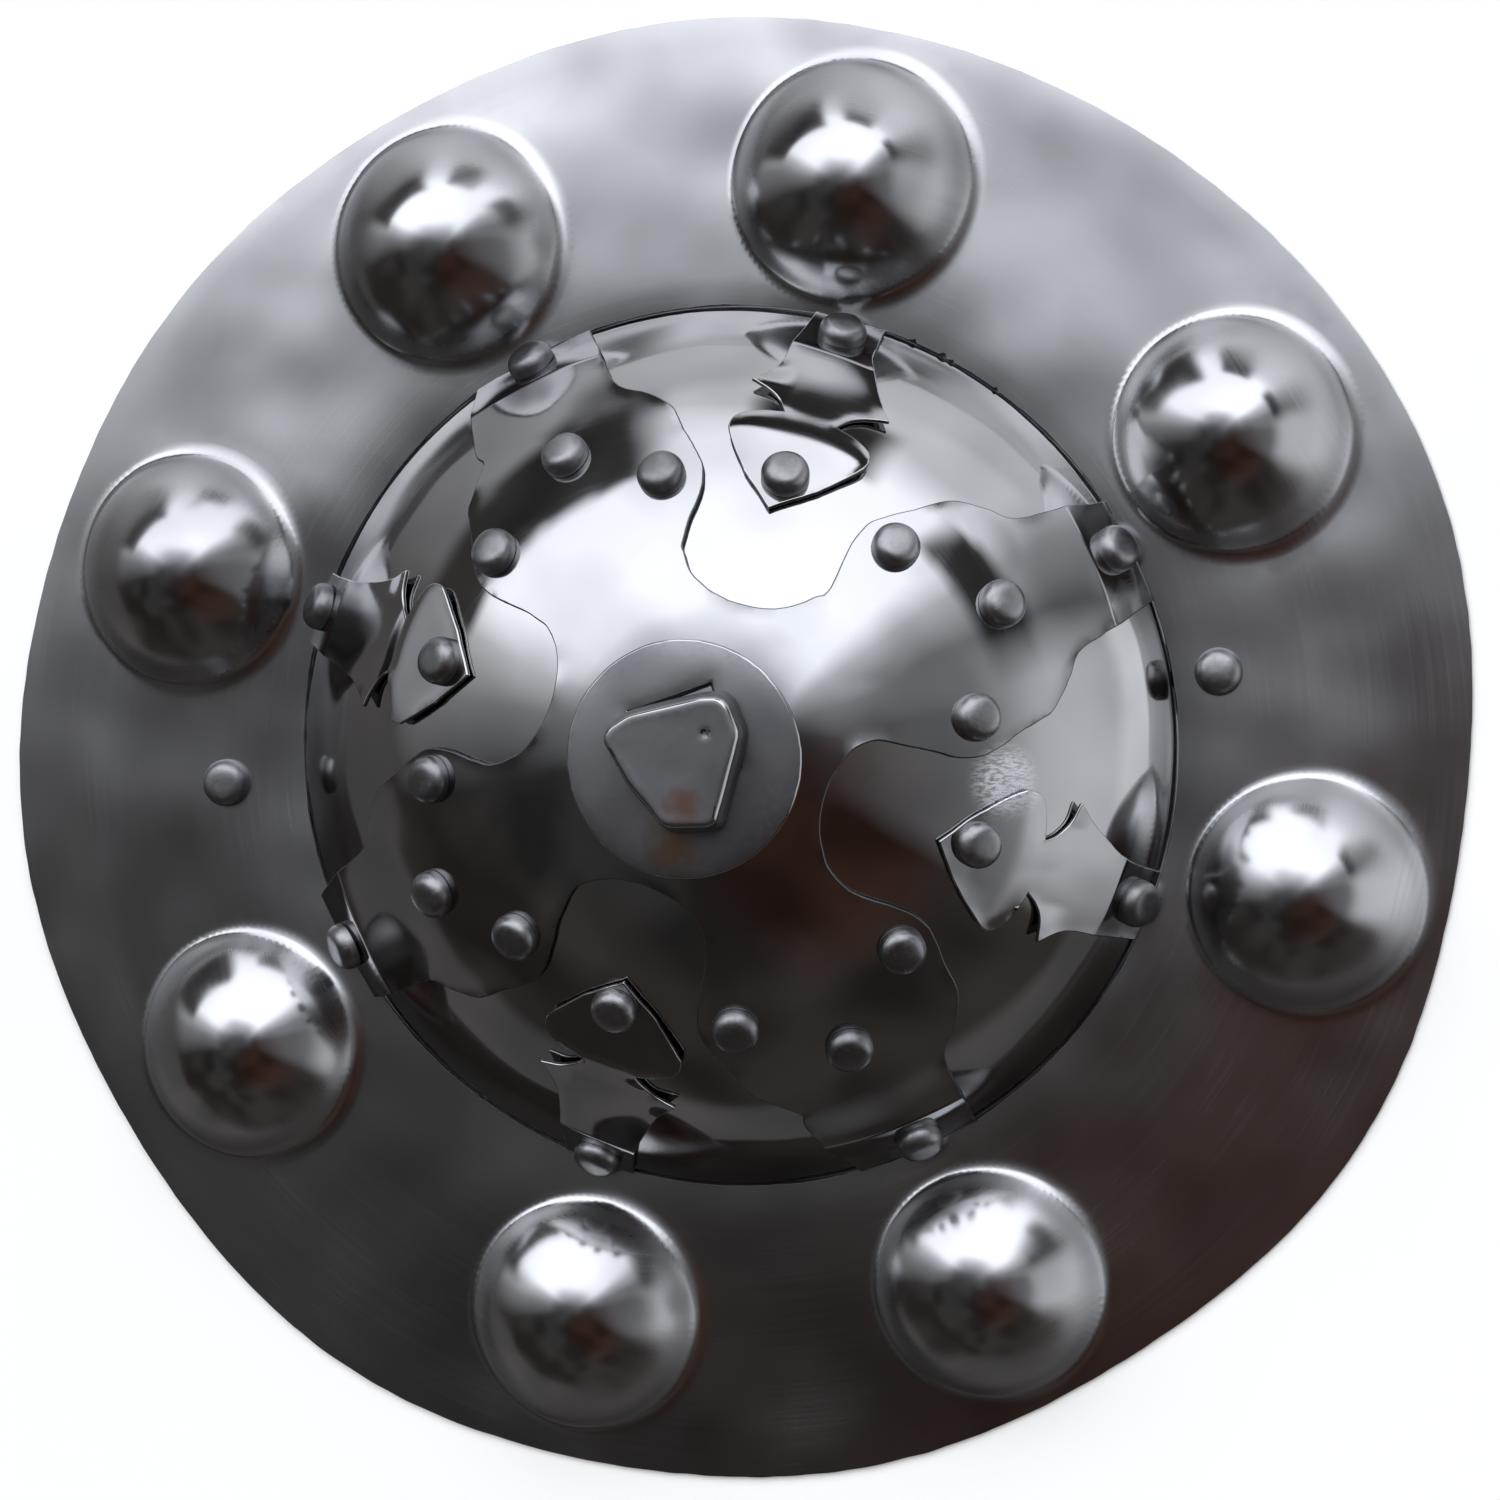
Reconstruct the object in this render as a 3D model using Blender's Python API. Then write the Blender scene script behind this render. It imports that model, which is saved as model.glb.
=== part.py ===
"""Round steel shield lying on its back, face up. Sizes are in millimetres and degrees; meshes are in metres.

The shapes are worked out about the bowl's axis. The last step of every shape moves it so that the rim's
underside is at z = 0 and the origin is under the middle of the shield.
+X is to the right and +Y is up as the face is looked at, and +Z points out of the face.
"""

import math

import bmesh
import bpy
from mathutils import Vector, geometry

MM = 0.001
# Places nearer together than this are one place
SAME_PLACE = 1e-3

# Dished plate
PLATE_THICK = 1.6
PLATE_RISE = 12.5
RIM_MEAN_RADIUS = 226.5
# Slow waves that put the hand-cut rim out of round: waves in a turn, height, degrees of one crest
RIM_WAVES = (
    (1, 4.24, -158),
    (2, 3.24, 25),
    (3, 0.40, 19),
    (5, 0.87, 29),
    (6, 0.50, 24),
    (7, 0.73, -25),
    (8, 0.65, 11),
)
RIM_POINTS = 60

# Raised bosses. The band is the plate between bowl and rim. How far across the band a boss's middle is,
# its angle about the axis, and its foot radius as a share of the band
BOSSES = (
    (0.494, 121.2, 0.394),
    (0.455, 78.9, 0.403),
    (0.484, 32.3, 0.390),
    (0.492, 345.9, 0.387),
    (0.507, 295.1, 0.384),
    (0.526, 254.1, 0.390),
    (0.526, 210.9, 0.382),
    (0.536, 163.1, 0.387),
)
BOSS_FOOT_BEND = 7.0
BOSS_WALL_SLOPE = 75.0
BOSS_SIDES = 14
# Rings of points on the plate between the bosses: how far across the band, and their spacing
PLATE_RINGS = (0.26, 0.77)
PLATE_RINGS_TURN = 8.0
PLATE_POINT_SPACING = 90.0
PLATE_POINT_GAP = 7.0

# Bowl
BOWL_RADIUS = 152.0
BOWL_FOOT_RADIUS = 134.0
BOWL_THICK = 2.0
# The foot is pushed out of round: mean push, its waves as for the rim, and the height that it fades in over
FOOT_PUSH = 1.15
FOOT_WAVES = ((1, 1.3, 180), (2, 1.05, 0))
PUSH_HEIGHT = 36.0
FOOT_SIDES = 36
FOOT_CLEARANCE = 0.8
FLANGE_WIDTH = 6.0
CROWN_HOLE_RADIUS = 9.0
# Flat patterns are drawn from the crown out, and stretched so that this distance comes to the bowl's foot
PATTERN_FOOT = 164.0
# Rings of points on the bowl, on the flat pattern, and the spacing of points in a ring
BOWL_RINGS = (26.0, 48.0, 70.0, 92.0, 112.0, 130.0, 144.0)
BOWL_POINT_SPACING = 21.0
POINT_GAP = 4.0

# Sheet laid over the bowl
COVER_THICK = 1.5
COVER_CLEARANCE = 0.5
PATTERN_ANGLE = 26.55
# From one arm or strap to the next
QUARTER = 90.0
# Half the width of an arm and its lobe, by distance from the crown along the bowl
ARM_STATIONS = (
    (64.0, 25.5),
    (70.0, 29.2),
    (78.0, 34.6),
    (84.0, 38.0),
    (90.0, 39.8),
    (96.0, 39.3),
    (103.0, 37.6),
    (109.0, 36.8),
    (114.0, 35.6),
    (118.5, 32.2),
    (122.5, 28.0),
    (126.0, 23.4),
    (131.0, 21.4),
    (141.0, 20.0),
    (152.0, 18.4),
    (163.0, 16.6),
)
# The arms were not cut alike near the foot: how much wider each is, clockwise and anticlockwise side
ARM_FOOT_EXTRA = ((0.0, 0.0), (-1.5, 8.0), (0.0, 1.5), (7.0, -1.5))
EXTRA_FROM = 122.0
EXTRA_TO = 132.0
# How near the bay between two arms comes to the crown, and how far it lies to the anticlockwise side:
# top, left, bottom and right bay
BAY_BOTTOMS = (48.0, 45.0, 41.3, 43.4)
BAY_SIDE_SHIFTS = (1.5, -1.5, 0.0, 3.0)
BAY_DEPTH = 15.0
BAY_HALF_WIDTH = 22.8
BAY_STEPS = 8
COVER_RINGS = (26.0, 45.0, 64.0, 82.0, 98.0, 112.0, 126.0, 144.0)
COVER_POINT_SPACING = 17.5

# Straps in the bays
STRAP_NAMES = ("top", "left", "bottom", "right")
STRAP_ANGLE = 72.0
# Half the width of a strap from the heart's point to the foot
STRAP_STATIONS = (
    (88.0, 11.6),
    (99.5, 20.2),
    (104.0, 22.0),
    (108.0, 20.6),
    (110.5, 15.6),
    (112.0, 8.4),
    (116.0, 11.0),
    (119.5, 15.4),
    (122.0, 22.0),
    (127.5, 17.8),
    (134.0, 15.0),
    (146.0, 12.2),
    (163.0, 11.2),
)
HEART_POINT = 77.5
# Each strap's heart lies a little farther from or nearer to the crown, and to one side, and its end is bent
HEART_SHIFTS = (1.5, -1.5, -3.5, 2.5)
HEART_SIDE_SHIFTS = (2.2, 0.0, 0.0, -1.8)
STRAP_END_SHIFTS = (7.0, 1.0, -2.0, -6.0)
BEND_FROM = 126.0
BEND_TO = 150.0
STRAP_MIDDLES = ((104.0, 0.0), (104.0, 12.0), (104.0, -12.0), (120.0, 0.0), (130.0, 0.0), (145.0, 0.0))

# Where an arm or a strap is riveted at the foot it is beaten flat, down from a ridge
FLAT_ABOVE_RIVET = 11.0
RIDGE_BLEND = 4.0
FLAT_REACH = 36.0

# Rivets: distance from the crown along the bowl, angle about its axis
LOBE_RIVETS = (
    (89.3, 46.2),
    (107.0, 26.6),
    (88.2, 7.6),
    (91.5, 136.9),
    (105.9, 116.4),
    (87.5, 98.2),
    (81.6, 224.6),
    (100.3, 207.3),
    (86.9, 185.9),
    (88.3, 316.3),
    (105.5, 296.0),
    (86.9, 277.4),
)
HEART_RIVETS = ((91.0, 73.0), (88.1, 161.3), (84.3, 251.4), (92.1, 342.4))
# Rivets at the foot: how far the head stays above the foot's level, angle about the axis, and how far the
# beaten end stands off the bowl there
ARM_FOOT_RIVETS = (
    (2.1, 27.3, 0.0),
    (1.2, 118.5, 0.0),
    (0.0, 206.9, 1.8),
    (1.7, 295.7, 0.3),
)
STRAP_FOOT_RIVETS = (
    (4.5, 74.9, 0.0),
    (0.0, 162.0, 0.8),
    (1.7, 251.1, 0.0),
    (2.1, 339.6, 0.0),
)
# Rivets through the plate: distance outside the bowl's foot, angle
PLATE_RIVETS = ((15.4, 9.1), (29.5, 184.4))
HEAD_RADIUS = 7.4
HEAD_HEIGHT = 5.6
HEAD_SIDES = 10
HEAD_SEAT = 0.3
SHANK_RADIUS = 2.8
RIVET_HOLE_RADIUS = 3.4
SHANK_SIDES = 6
SHANK_TAIL = 0.5

# Washer and stud on the crown
WASHER_RADIUS = 35.2
WASHER_THICK = 2.8
WASHER_EDGE = 0.9
WASHER_CLEARANCE = 0.5
WASHER_CENTRE = (-0.2, -1.0)
WASHER_SIDES = 26
WASHER_RINGS = (0.56, 0.78)
WASHER_POINT_GAP = 2.0
WASHER_HOLE_SIDE = 25.8
WASHER_HOLE_CENTRE = (0.5, 5.0)
WASHER_HOLE_TURN = 19.7
STUD_HEAD_HEIGHT = 8.25
STUD_BEVEL = 1.0
STUD_HEAD_CLEARANCE = 0.4
# Corners of the stud's flat top, from the bowl's axis
STUD_CORNERS = (
    (-20.8, 8.2),
    (-14.4, 12.3),
    (7.6, 17.6),
    (13.2, 17.8),
    (15.6, 15.6),
    (19.0, 6.8),
    (12.0, -19.4),
    (9.6, -20.6),
    (-2.0, -20.8),
    (-4.6, -19.6),
    (-15.2, -6.8),
    (-21.8, 4.4),
)
# How far the head widens below that outline, at its seat and at its softened edge
STUD_FLARE = 1.8
STUD_EDGE_FLARE = 0.35
STUD_SHANK_RADIUS = 8.0
STUD_SHANK_SIDES = 8

# Grip behind the plate
GRIP_WIDTH = 24.0
GRIP_THICK = 4.0
GRIP_END_PAST_RIVET = 11.0
GRIP_CORNER_CUT = (4.0, 5.0)
GRIP_CLEARANCE = 0.4
GRIP_TAIL_RECESS = 0.2
# Where the bar steps down to pass the flange, counted outward from the flange's edge
GRIP_STEP = (1.1, 4.4)
# Where the bar rises, counted inward from the bowl's foot
GRIP_RISE_FROM = 8.0
GRIP_RISE_TO = 34.0
GRIP_RISE_BENDS = 3
GRIP_HEIGHT = 24.0
WRAP_LENGTH = 112.0
WRAP_SIZE = (33.0, 21.0)
WRAP_CLEARANCE = 0.4
WRAP_BARREL = 0.10
WRAP_SIDES = 12
WRAP_SECTIONS = 5

MATERIALS = {
    "satin_steel": ((0.50, 0.51, 0.53), 0.34, 1.0),
    "polished_steel": ((0.62, 0.62, 0.63), 0.16, 1.0),
    "cover_steel": ((0.56, 0.57, 0.59), 0.20, 1.0),
    "rivet_steel": ((0.42, 0.42, 0.43), 0.40, 1.0),
    "bar_steel": ((0.32, 0.32, 0.33), 0.50, 1.0),
    "leather": ((0.16, 0.08, 0.04), 0.75, 0.0),
}


def between(value, low, high):
    """How far a value is from low to high, kept from 0 to 1."""
    return max(0.0, min(1.0, (value - low) / (high - low)))


def waves(turn, table):
    """Sum of slow waves at an angle in radians."""
    return sum(
        height * math.cos(count * (turn - math.radians(crest)))
        for count, height, crest in table
    )


def rim_radius(turn):
    """Distance of the rim from the bowl's axis, at an angle in radians."""
    return RIM_MEAN_RADIUS + waves(turn, RIM_WAVES)


def rim_points():
    turns = [2 * math.pi * i / RIM_POINTS for i in range(RIM_POINTS)]
    return [(rim_radius(a) * math.cos(a), rim_radius(a) * math.sin(a)) for a in turns]


RIM = rim_points()
MIDDLE = Vector(
    (
        (min(p[0] for p in RIM) + max(p[0] for p in RIM)) / 2,
        (min(p[1] for p in RIM) + max(p[1] for p in RIM)) / 2,
        0.0,
    )
)


def plate_top(x, y):
    """Height of the dished plate's upper side, with no boss."""
    foot = BOWL_FOOT_RADIUS**2
    rim = rim_radius(math.atan2(y, x)) ** 2
    return PLATE_THICK + PLATE_RISE * (1 - (x * x + y * y - foot) / (rim - foot))


def plate_normal(x, y):
    step = 0.5
    slope_x = (plate_top(x + step, y) - plate_top(x - step, y)) / (2 * step)
    slope_y = (plate_top(x, y + step) - plate_top(x, y - step)) / (2 * step)
    return Vector((-slope_x, -slope_y, 1)).normalized()


FOOT_Z = PLATE_THICK + PLATE_RISE
SPHERE_Z = FOOT_Z - math.sqrt(BOWL_RADIUS**2 - BOWL_FOOT_RADIUS**2)
SPHERE_CENTRE = Vector((0, 0, SPHERE_Z))
CROWN_Z = SPHERE_Z + BOWL_RADIUS
FOOT_LEAN = math.asin(BOWL_FOOT_RADIUS / BOWL_RADIUS)
BAND = RIM_MEAN_RADIUS - BOWL_FOOT_RADIUS
COVER_INSIDE = BOWL_RADIUS + COVER_CLEARANCE
COVER_OUTSIDE = COVER_INSIDE + COVER_THICK
WALL_HEIGHT = PLATE_THICK + GRIP_CLEARANCE


def polar(distance, degrees):
    turn = math.radians(degrees)
    return distance * math.cos(turn), distance * math.sin(turn)


def foot_push(degrees):
    """How far the foot is pushed out at an angle about the axis."""
    return FOOT_PUSH + waves(math.radians(degrees), FOOT_WAVES)


def pushed(point):
    """A place on the bowl or its cover, moved out as the foot is: not at all high up, fully at the foot."""
    low = between(FOOT_Z + PUSH_HEIGHT - point.z, 0.0, PUSH_HEIGHT)
    degrees = math.degrees(math.atan2(point.y, point.x))
    push = foot_push(degrees) * low * low * (3 - 2 * low)
    return point + Vector((*polar(push, degrees), 0.0))


def foot_loop(away):
    """Closed loop round the foot, this far outside it."""
    return [
        polar(BOWL_FOOT_RADIUS + foot_push(angle) + away, angle)
        for angle in (360 * i / FOOT_SIDES for i in range(FOOT_SIDES))
    ]


def ring(radius, count, centre=(0.0, 0.0), turn=0.0):
    """Corner points of a regular polygon, in order."""
    steps = [turn + 2 * math.pi * i / count for i in range(count)]
    return [
        (centre[0] + radius * math.cos(a), centre[1] + radius * math.sin(a))
        for a in steps
    ]


def lean_of(arc):
    """Angle from upright, at the sphere's centre, of a distance on the flat pattern."""
    return arc / PATTERN_FOOT * FOOT_LEAN


def arc_of(lean):
    """Distance on the flat pattern of an angle from upright."""
    return lean / FOOT_LEAN * PATTERN_FOOT


def bowl_direction(arc, degrees):
    """Unit vector from the sphere's centre to a place on the bowl."""
    lean = lean_of(arc)
    x, y = polar(math.sin(lean), degrees)
    return Vector((x, y, math.cos(lean)))


def flat_of(direction):
    """Flat pattern place of a direction."""
    arc = arc_of(math.acos(direction.z))
    side = math.hypot(direction.x, direction.y)
    return arc * direction.x / side, arc * direction.y / side


def across(direction):
    """Two unit vectors square to a direction: down the bowl, and level."""
    level = Vector((0, 0, 1)).cross(direction).normalized()
    return level.cross(direction), level


def bowl_hole(arc, degrees, radius, count):
    """Flat pattern of a hole whose edge is a regular polygon on the bowl."""
    out = bowl_direction(arc, degrees)
    down, level = across(out)
    points = []
    for x, y in ring(radius / BOWL_RADIUS, count):
        points.append(flat_of((out + down * x + level * y).normalized()))
    return points


def below_plate(x, y):
    """Height just under the plate, with the clearance between plate and the parts behind it."""
    return plate_top(x, y) - (PLATE_THICK + GRIP_CLEARANCE) / plate_normal(x, y).z


def foot_rivet_arc(gap):
    """Flat pattern distance of a foot rivet whose head stays this far above the foot's level."""
    height = FOOT_Z + gap - SPHERE_Z
    reach = math.hypot(COVER_OUTSIDE, HEAD_RADIUS)
    return arc_of(math.acos(height / reach) - math.atan2(HEAD_RADIUS, COVER_OUTSIDE))


def foot_places(rivets):
    """Flat pattern distance, angle and lift of foot rivets."""
    return [(foot_rivet_arc(gap), degrees, lift) for gap, degrees, lift in rivets]


def plate_places():
    """Distance from the axis and angle of the plate's rivets."""
    return [(BOWL_FOOT_RADIUS + away, degrees) for away, degrees in PLATE_RIVETS]


def inside(point, loop):
    """Whether a flat point is inside a closed loop."""
    found = False
    for i, (x1, y1) in enumerate(loop):
        x0, y0 = loop[i - 1]
        if (y1 > point[1]) != (y0 > point[1]):
            if point[0] < (x0 - x1) * (point[1] - y1) / (y0 - y1) + x1:
                found = not found
    return found


def divided(loop, parts):
    """The same closed loop with every side cut into equal parts."""
    points = []
    for i, end in enumerate(loop):
        for step in range(parts):
            share = step / parts
            points.append(tuple(a + (b - a) * share for a, b in zip(loop[i - 1], end)))
    return points


def clear_of(point, loops, distance):
    """Whether a flat point is at least this far from every edge of the loops."""
    spot = Vector(point)
    for loop in loops:
        for i, end in enumerate(loop):
            a, b = Vector(loop[i - 1]), Vector(end)
            share = between((spot - a).dot(b - a), 0.0, (b - a).length_squared)
            if (spot - a - (b - a) * share).length < distance:
                return False
    return True


def new_object(name, material, points, faces):
    """A mesh object from points in millimetres about the bowl's axis."""
    mesh = bpy.data.meshes.new(name)
    mesh.from_pydata([(Vector(p) - MIDDLE) * MM for p in points], [], faces)
    work = bmesh.new()
    work.from_mesh(mesh)
    bmesh.ops.remove_doubles(work, verts=work.verts, dist=SAME_PLACE * MM)
    work.to_mesh(mesh)
    work.free()
    mesh.polygons.foreach_set("use_smooth", [True] * len(mesh.polygons))
    mesh.materials.append(bpy.data.materials[material])
    obj = bpy.data.objects.new(name, mesh)
    bpy.context.scene.collection.objects.link(obj)
    return obj


def thicken(obj, thick, outward):
    """Gives a sheet its thickness on one side."""
    solid = obj.modifiers.new("thickness", "SOLIDIFY")
    solid.thickness = thick * MM
    solid.offset = 1 if outward else -1
    solid.use_even_offset = True
    return obj


def sheet(name, material, outline, holes, creases, loose, shape):
    """A sheet cut to a flat outline with holes, then bent to shape(x, y)."""
    coords = []
    edges = []
    for loop in [outline, *holes, *creases]:
        first = len(coords)
        coords += loop
        edges += [(first + i, first + (i + 1) % len(loop)) for i in range(len(loop))]
    coords += loose
    found = geometry.delaunay_2d_cdt([Vector(p) for p in coords], edges, [], 1, 1e-5)
    places, faces = found[0], found[2]
    kept = []
    for face in faces:
        middle = [sum(places[i][axis] for i in face) / 3 for axis in (0, 1)]
        if inside(middle, outline) and not any(inside(middle, h) for h in holes):
            kept.append(face)
    used = sorted({i for face in kept for i in face})
    index = {old: new for new, old in enumerate(used)}
    points = [shape(places[i][0], places[i][1]) for i in used]
    return new_object(name, material, points, [[index[i] for i in f] for f in kept])


def side_angle(arc, width):
    """Angle about the axis of a place this far to the side, in degrees."""
    return math.degrees(width / (BOWL_RADIUS * math.sin(lean_of(arc))))


def flatten_feet(direction, feet):
    """Distance of the cover's inner side from the sphere's centre, flat round each foot rivet."""
    arc = arc_of(math.acos(direction.z))
    for rivet_arc, degrees, lift in feet:
        lean = direction.angle(bowl_direction(rivet_arc, degrees))
        ridge = rivet_arc - FLAT_ABOVE_RIVET
        if arc > ridge and lean * BOWL_RADIUS < FLAT_REACH:
            flat = between(arc, ridge, ridge + RIDGE_BLEND) * (1 / math.cos(lean) - 1)
            return COVER_INSIDE * (1 + flat) + lift * between(arc, ridge, rivet_arc)
    return COVER_INSIDE


def cover_shape(feet):
    """How a flat cover piece is bent over the bowl."""

    def shape(x, y):
        arc = math.hypot(x, y)
        out = bowl_direction(arc, math.degrees(math.atan2(y, x)))
        return pushed(SPHERE_CENTRE + out * flatten_feet(out, feet))

    return shape


def pattern_rings(distances, spacing):
    """Points in rings on the flat pattern, this far apart on the bowl."""
    points = []
    for arc in distances:
        count = round(2 * math.pi * BOWL_RADIUS * math.sin(lean_of(arc)) / spacing)
        points += ring(arc, count)
    return points


def loose_inside(candidates, outline, holes, distance):
    """Those of the points that lie on the sheet, away from its edges."""
    return [
        p
        for p in candidates
        if inside(p, outline)
        and not any(inside(p, h) for h in holes)
        and clear_of(p, [outline, *holes], distance)
    ]


def boss_profile(foot_radius):
    """Distance from a boss's middle and height, from its foot to near its top."""
    slope = math.radians(BOSS_WALL_SLOPE)
    bend = BOSS_FOOT_BEND
    wall_radius = foot_radius - bend * math.sin(slope)
    ball = wall_radius / math.sin(slope)
    wall_height = bend * (1 - math.cos(slope))
    rows = [(foot_radius, 0.0)]
    half = slope / 2
    rows.append((foot_radius - bend * math.sin(half), bend * (1 - math.cos(half))))
    for share in (1.0, 0.7, 0.38, 0.0):
        lean = slope * share
        rows.append(
            (
                ball * math.sin(lean),
                wall_height + ball * (math.cos(lean) - math.cos(slope)),
            )
        )
    return rows


def boss_sides(row):
    return BOSS_SIDES if row < 4 else BOSS_SIDES // 2


def build_plate():
    """The dished plate with its bosses, hole and rivet holes."""
    raised = []
    creases = []
    loose = []
    for share, degrees, size in BOSSES:
        centre = polar(BOWL_FOOT_RADIUS + BAND * share, degrees)
        profile = boss_profile(BAND * size)
        raised.append((centre, profile, plate_normal(*centre)))
        for row, (radius, _) in enumerate(profile[:-1]):
            creases.append(ring(radius, boss_sides(row), centre, math.radians(degrees)))
        loose.append(centre)

    def shape(x, y):
        spot = Vector((x, y, plate_top(x, y)))
        for centre, profile, out in raised:
            away = math.hypot(x - centre[0], y - centre[1])
            if away > profile[0][0] + SAME_PLACE:
                continue
            height = min(profile, key=lambda row: abs(row[0] - away))[1]
            return spot + out * height
        return spot

    hole = foot_loop(FOOT_CLEARANCE)
    rivet_holes = [
        ring(RIVET_HOLE_RADIUS, SHANK_SIDES, polar(distance, degrees), math.radians(degrees))
        for distance, degrees in plate_places()
    ]
    feet = [c for c in creases if len(c) == BOSS_SIDES]
    turn = math.radians(PLATE_RINGS_TURN)
    spread = []
    for share in PLATE_RINGS:
        radius = BOWL_FOOT_RADIUS + BAND * share
        count = round(2 * math.pi * radius / PLATE_POINT_SPACING)
        spread += ring(radius, count, turn=turn)
    loose += [
        p
        for p in spread
        if not any(inside(p, f) for f in feet)
        and clear_of(p, [RIM, hole, *rivet_holes, *feet], PLATE_POINT_GAP)
    ]
    plate = sheet(
        "shield_plate", "satin_steel", RIM, [hole, *rivet_holes], creases, loose, shape
    )
    return thicken(plate, PLATE_THICK, outward=False)


def bowl_shape(x, y):
    """The bowl's outer side: the ball, then the upright wall in the plate's hole, then the flange."""
    arc = math.hypot(x, y)
    degrees = math.degrees(math.atan2(y, x))
    past = arc - PATTERN_FOOT
    if past <= SAME_PLACE:
        return pushed(SPHERE_CENTRE + bowl_direction(arc, degrees) * BOWL_RADIUS)
    run = max(0.0, past - WALL_HEIGHT)
    flat = polar(BOWL_FOOT_RADIUS + foot_push(degrees) + run, degrees)
    return Vector((*flat, below_plate(*flat)))


def build_bowl():
    """The bowl with its flange and every rivet hole."""
    outline = ring(PATTERN_FOOT + WALL_HEIGHT + FLANGE_WIDTH, FOOT_SIDES)
    creases = [ring(PATTERN_FOOT, FOOT_SIDES), ring(PATTERN_FOOT + WALL_HEIGHT, FOOT_SIDES)]
    rivets = [*LOBE_RIVETS, *HEART_RIVETS, *foot_places(ARM_FOOT_RIVETS + STRAP_FOOT_RIVETS)]
    holes = [bowl_hole(*place[:2], RIVET_HOLE_RADIUS, SHANK_SIDES) for place in rivets]
    holes.append(ring(CROWN_HOLE_RADIUS, STUD_SHANK_SIDES))
    rings = pattern_rings(BOWL_RINGS, BOWL_POINT_SPACING)
    loose = loose_inside(rings, creases[0], holes, POINT_GAP)
    bowl = sheet("umbo_bowl", "polished_steel", outline, holes, creases, loose, bowl_shape)
    return thicken(bowl, BOWL_THICK, outward=False)


def arm_side(arm, side):
    """Flat outline of one side of an arm, from the bay to the foot."""
    points = []
    extra = ARM_FOOT_EXTRA[arm][(side + 1) // 2]
    for arc, half_width in ARM_STATIONS:
        width = half_width + extra * between(arc, EXTRA_FROM, EXTRA_TO)
        angle = PATTERN_ANGLE + QUARTER * arm + side * side_angle(arc, width)
        points.append(polar(arc, angle))
    return points


def bay_curve(bay):
    """Flat outline of the bay after an arm, from that arm to the next."""
    middle = PATTERN_ANGLE + QUARTER / 2 + QUARTER * bay
    points = []
    for i in range(1, BAY_STEPS):
        swing = math.pi * i / BAY_STEPS
        along = BAY_BOTTOMS[bay] + BAY_DEPTH * (1 - math.sin(swing))
        side = BAY_SIDE_SHIFTS[bay] * math.sin(swing) - BAY_HALF_WIDTH * math.cos(swing)
        arc = math.hypot(along, side)
        points.append(polar(arc, middle + math.degrees(math.atan2(side, along))))
    return points


def build_cross_plate():
    """The top plate: four arms with lobes, and the bays between them."""
    outline = []
    for arm in range(4):
        down = arm_side(arm, 1)
        outline += down[::-1]
        outline += bay_curve(arm)
        outline += arm_side((arm + 1) % 4, -1)
    feet = foot_places(ARM_FOOT_RIVETS)
    holes = [
        bowl_hole(*place[:2], RIVET_HOLE_RADIUS, SHANK_SIDES)
        for place in (*LOBE_RIVETS, *feet)
    ]
    holes.append(ring(CROWN_HOLE_RADIUS, STUD_SHANK_SIDES))
    loose = loose_inside(pattern_rings(COVER_RINGS, COVER_POINT_SPACING), outline, holes, POINT_GAP)
    plate = sheet("cross_plate", "cover_steel", outline, holes, [], loose, cover_shape(feet))
    return thicken(plate, COVER_THICK, outward=True)


def strap_place(strap, arc, width):
    """Flat place on a strap: the heart is moved, and the end is bent to one side."""
    share = between(arc, BEND_FROM, BEND_TO)
    moved = arc + HEART_SHIFTS[strap] * (1 - share)
    sideways = width + HEART_SIDE_SHIFTS[strap] * (1 - share) + STRAP_END_SHIFTS[strap] * share
    return polar(moved, STRAP_ANGLE + QUARTER * strap + side_angle(moved, sideways))


def build_strap(strap):
    """One strap with its barbed heart."""
    right = [strap_place(strap, arc, -width) for arc, width in STRAP_STATIONS]
    left = [strap_place(strap, arc, width) for arc, width in STRAP_STATIONS]
    outline = [strap_place(strap, HEART_POINT, 0.0), *right, *left[::-1]]
    foot = foot_places(STRAP_FOOT_RIVETS)[strap]
    holes = [
        bowl_hole(*HEART_RIVETS[strap], RIVET_HOLE_RADIUS, SHANK_SIDES),
        bowl_hole(*foot[:2], RIVET_HOLE_RADIUS, SHANK_SIDES),
    ]
    middles = [strap_place(strap, arc, width) for arc, width in STRAP_MIDDLES]
    loose = loose_inside(middles, outline, holes, POINT_GAP)
    name = f"heart_strap_{STRAP_NAMES[strap]}"
    piece = sheet(name, "cover_steel", outline, holes, [], loose, cover_shape((foot,)))
    return thicken(piece, COVER_THICK, outward=True)


def lathe(name, material, seat, out, down, rows, turn=0.0):
    """A closed body of polygon rings along an axis: rows of height, radius and number of sides."""
    level = out.cross(down)
    points = []
    starts = []
    for height, radius, count in rows:
        starts.append(len(points))
        for x, y in ring(radius, count, turn=turn):
            points.append(seat + out * height + down * x + level * y)
    counts = [row[2] for row in rows]
    faces = [list(range(counts[0]))[::-1]]
    for row in range(len(rows) - 1):
        faces += band(starts[row], counts[row], starts[row + 1], counts[row + 1])
    faces.append([starts[-1] + i for i in range(counts[-1])])
    return new_object(name, material, points, faces)


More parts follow.
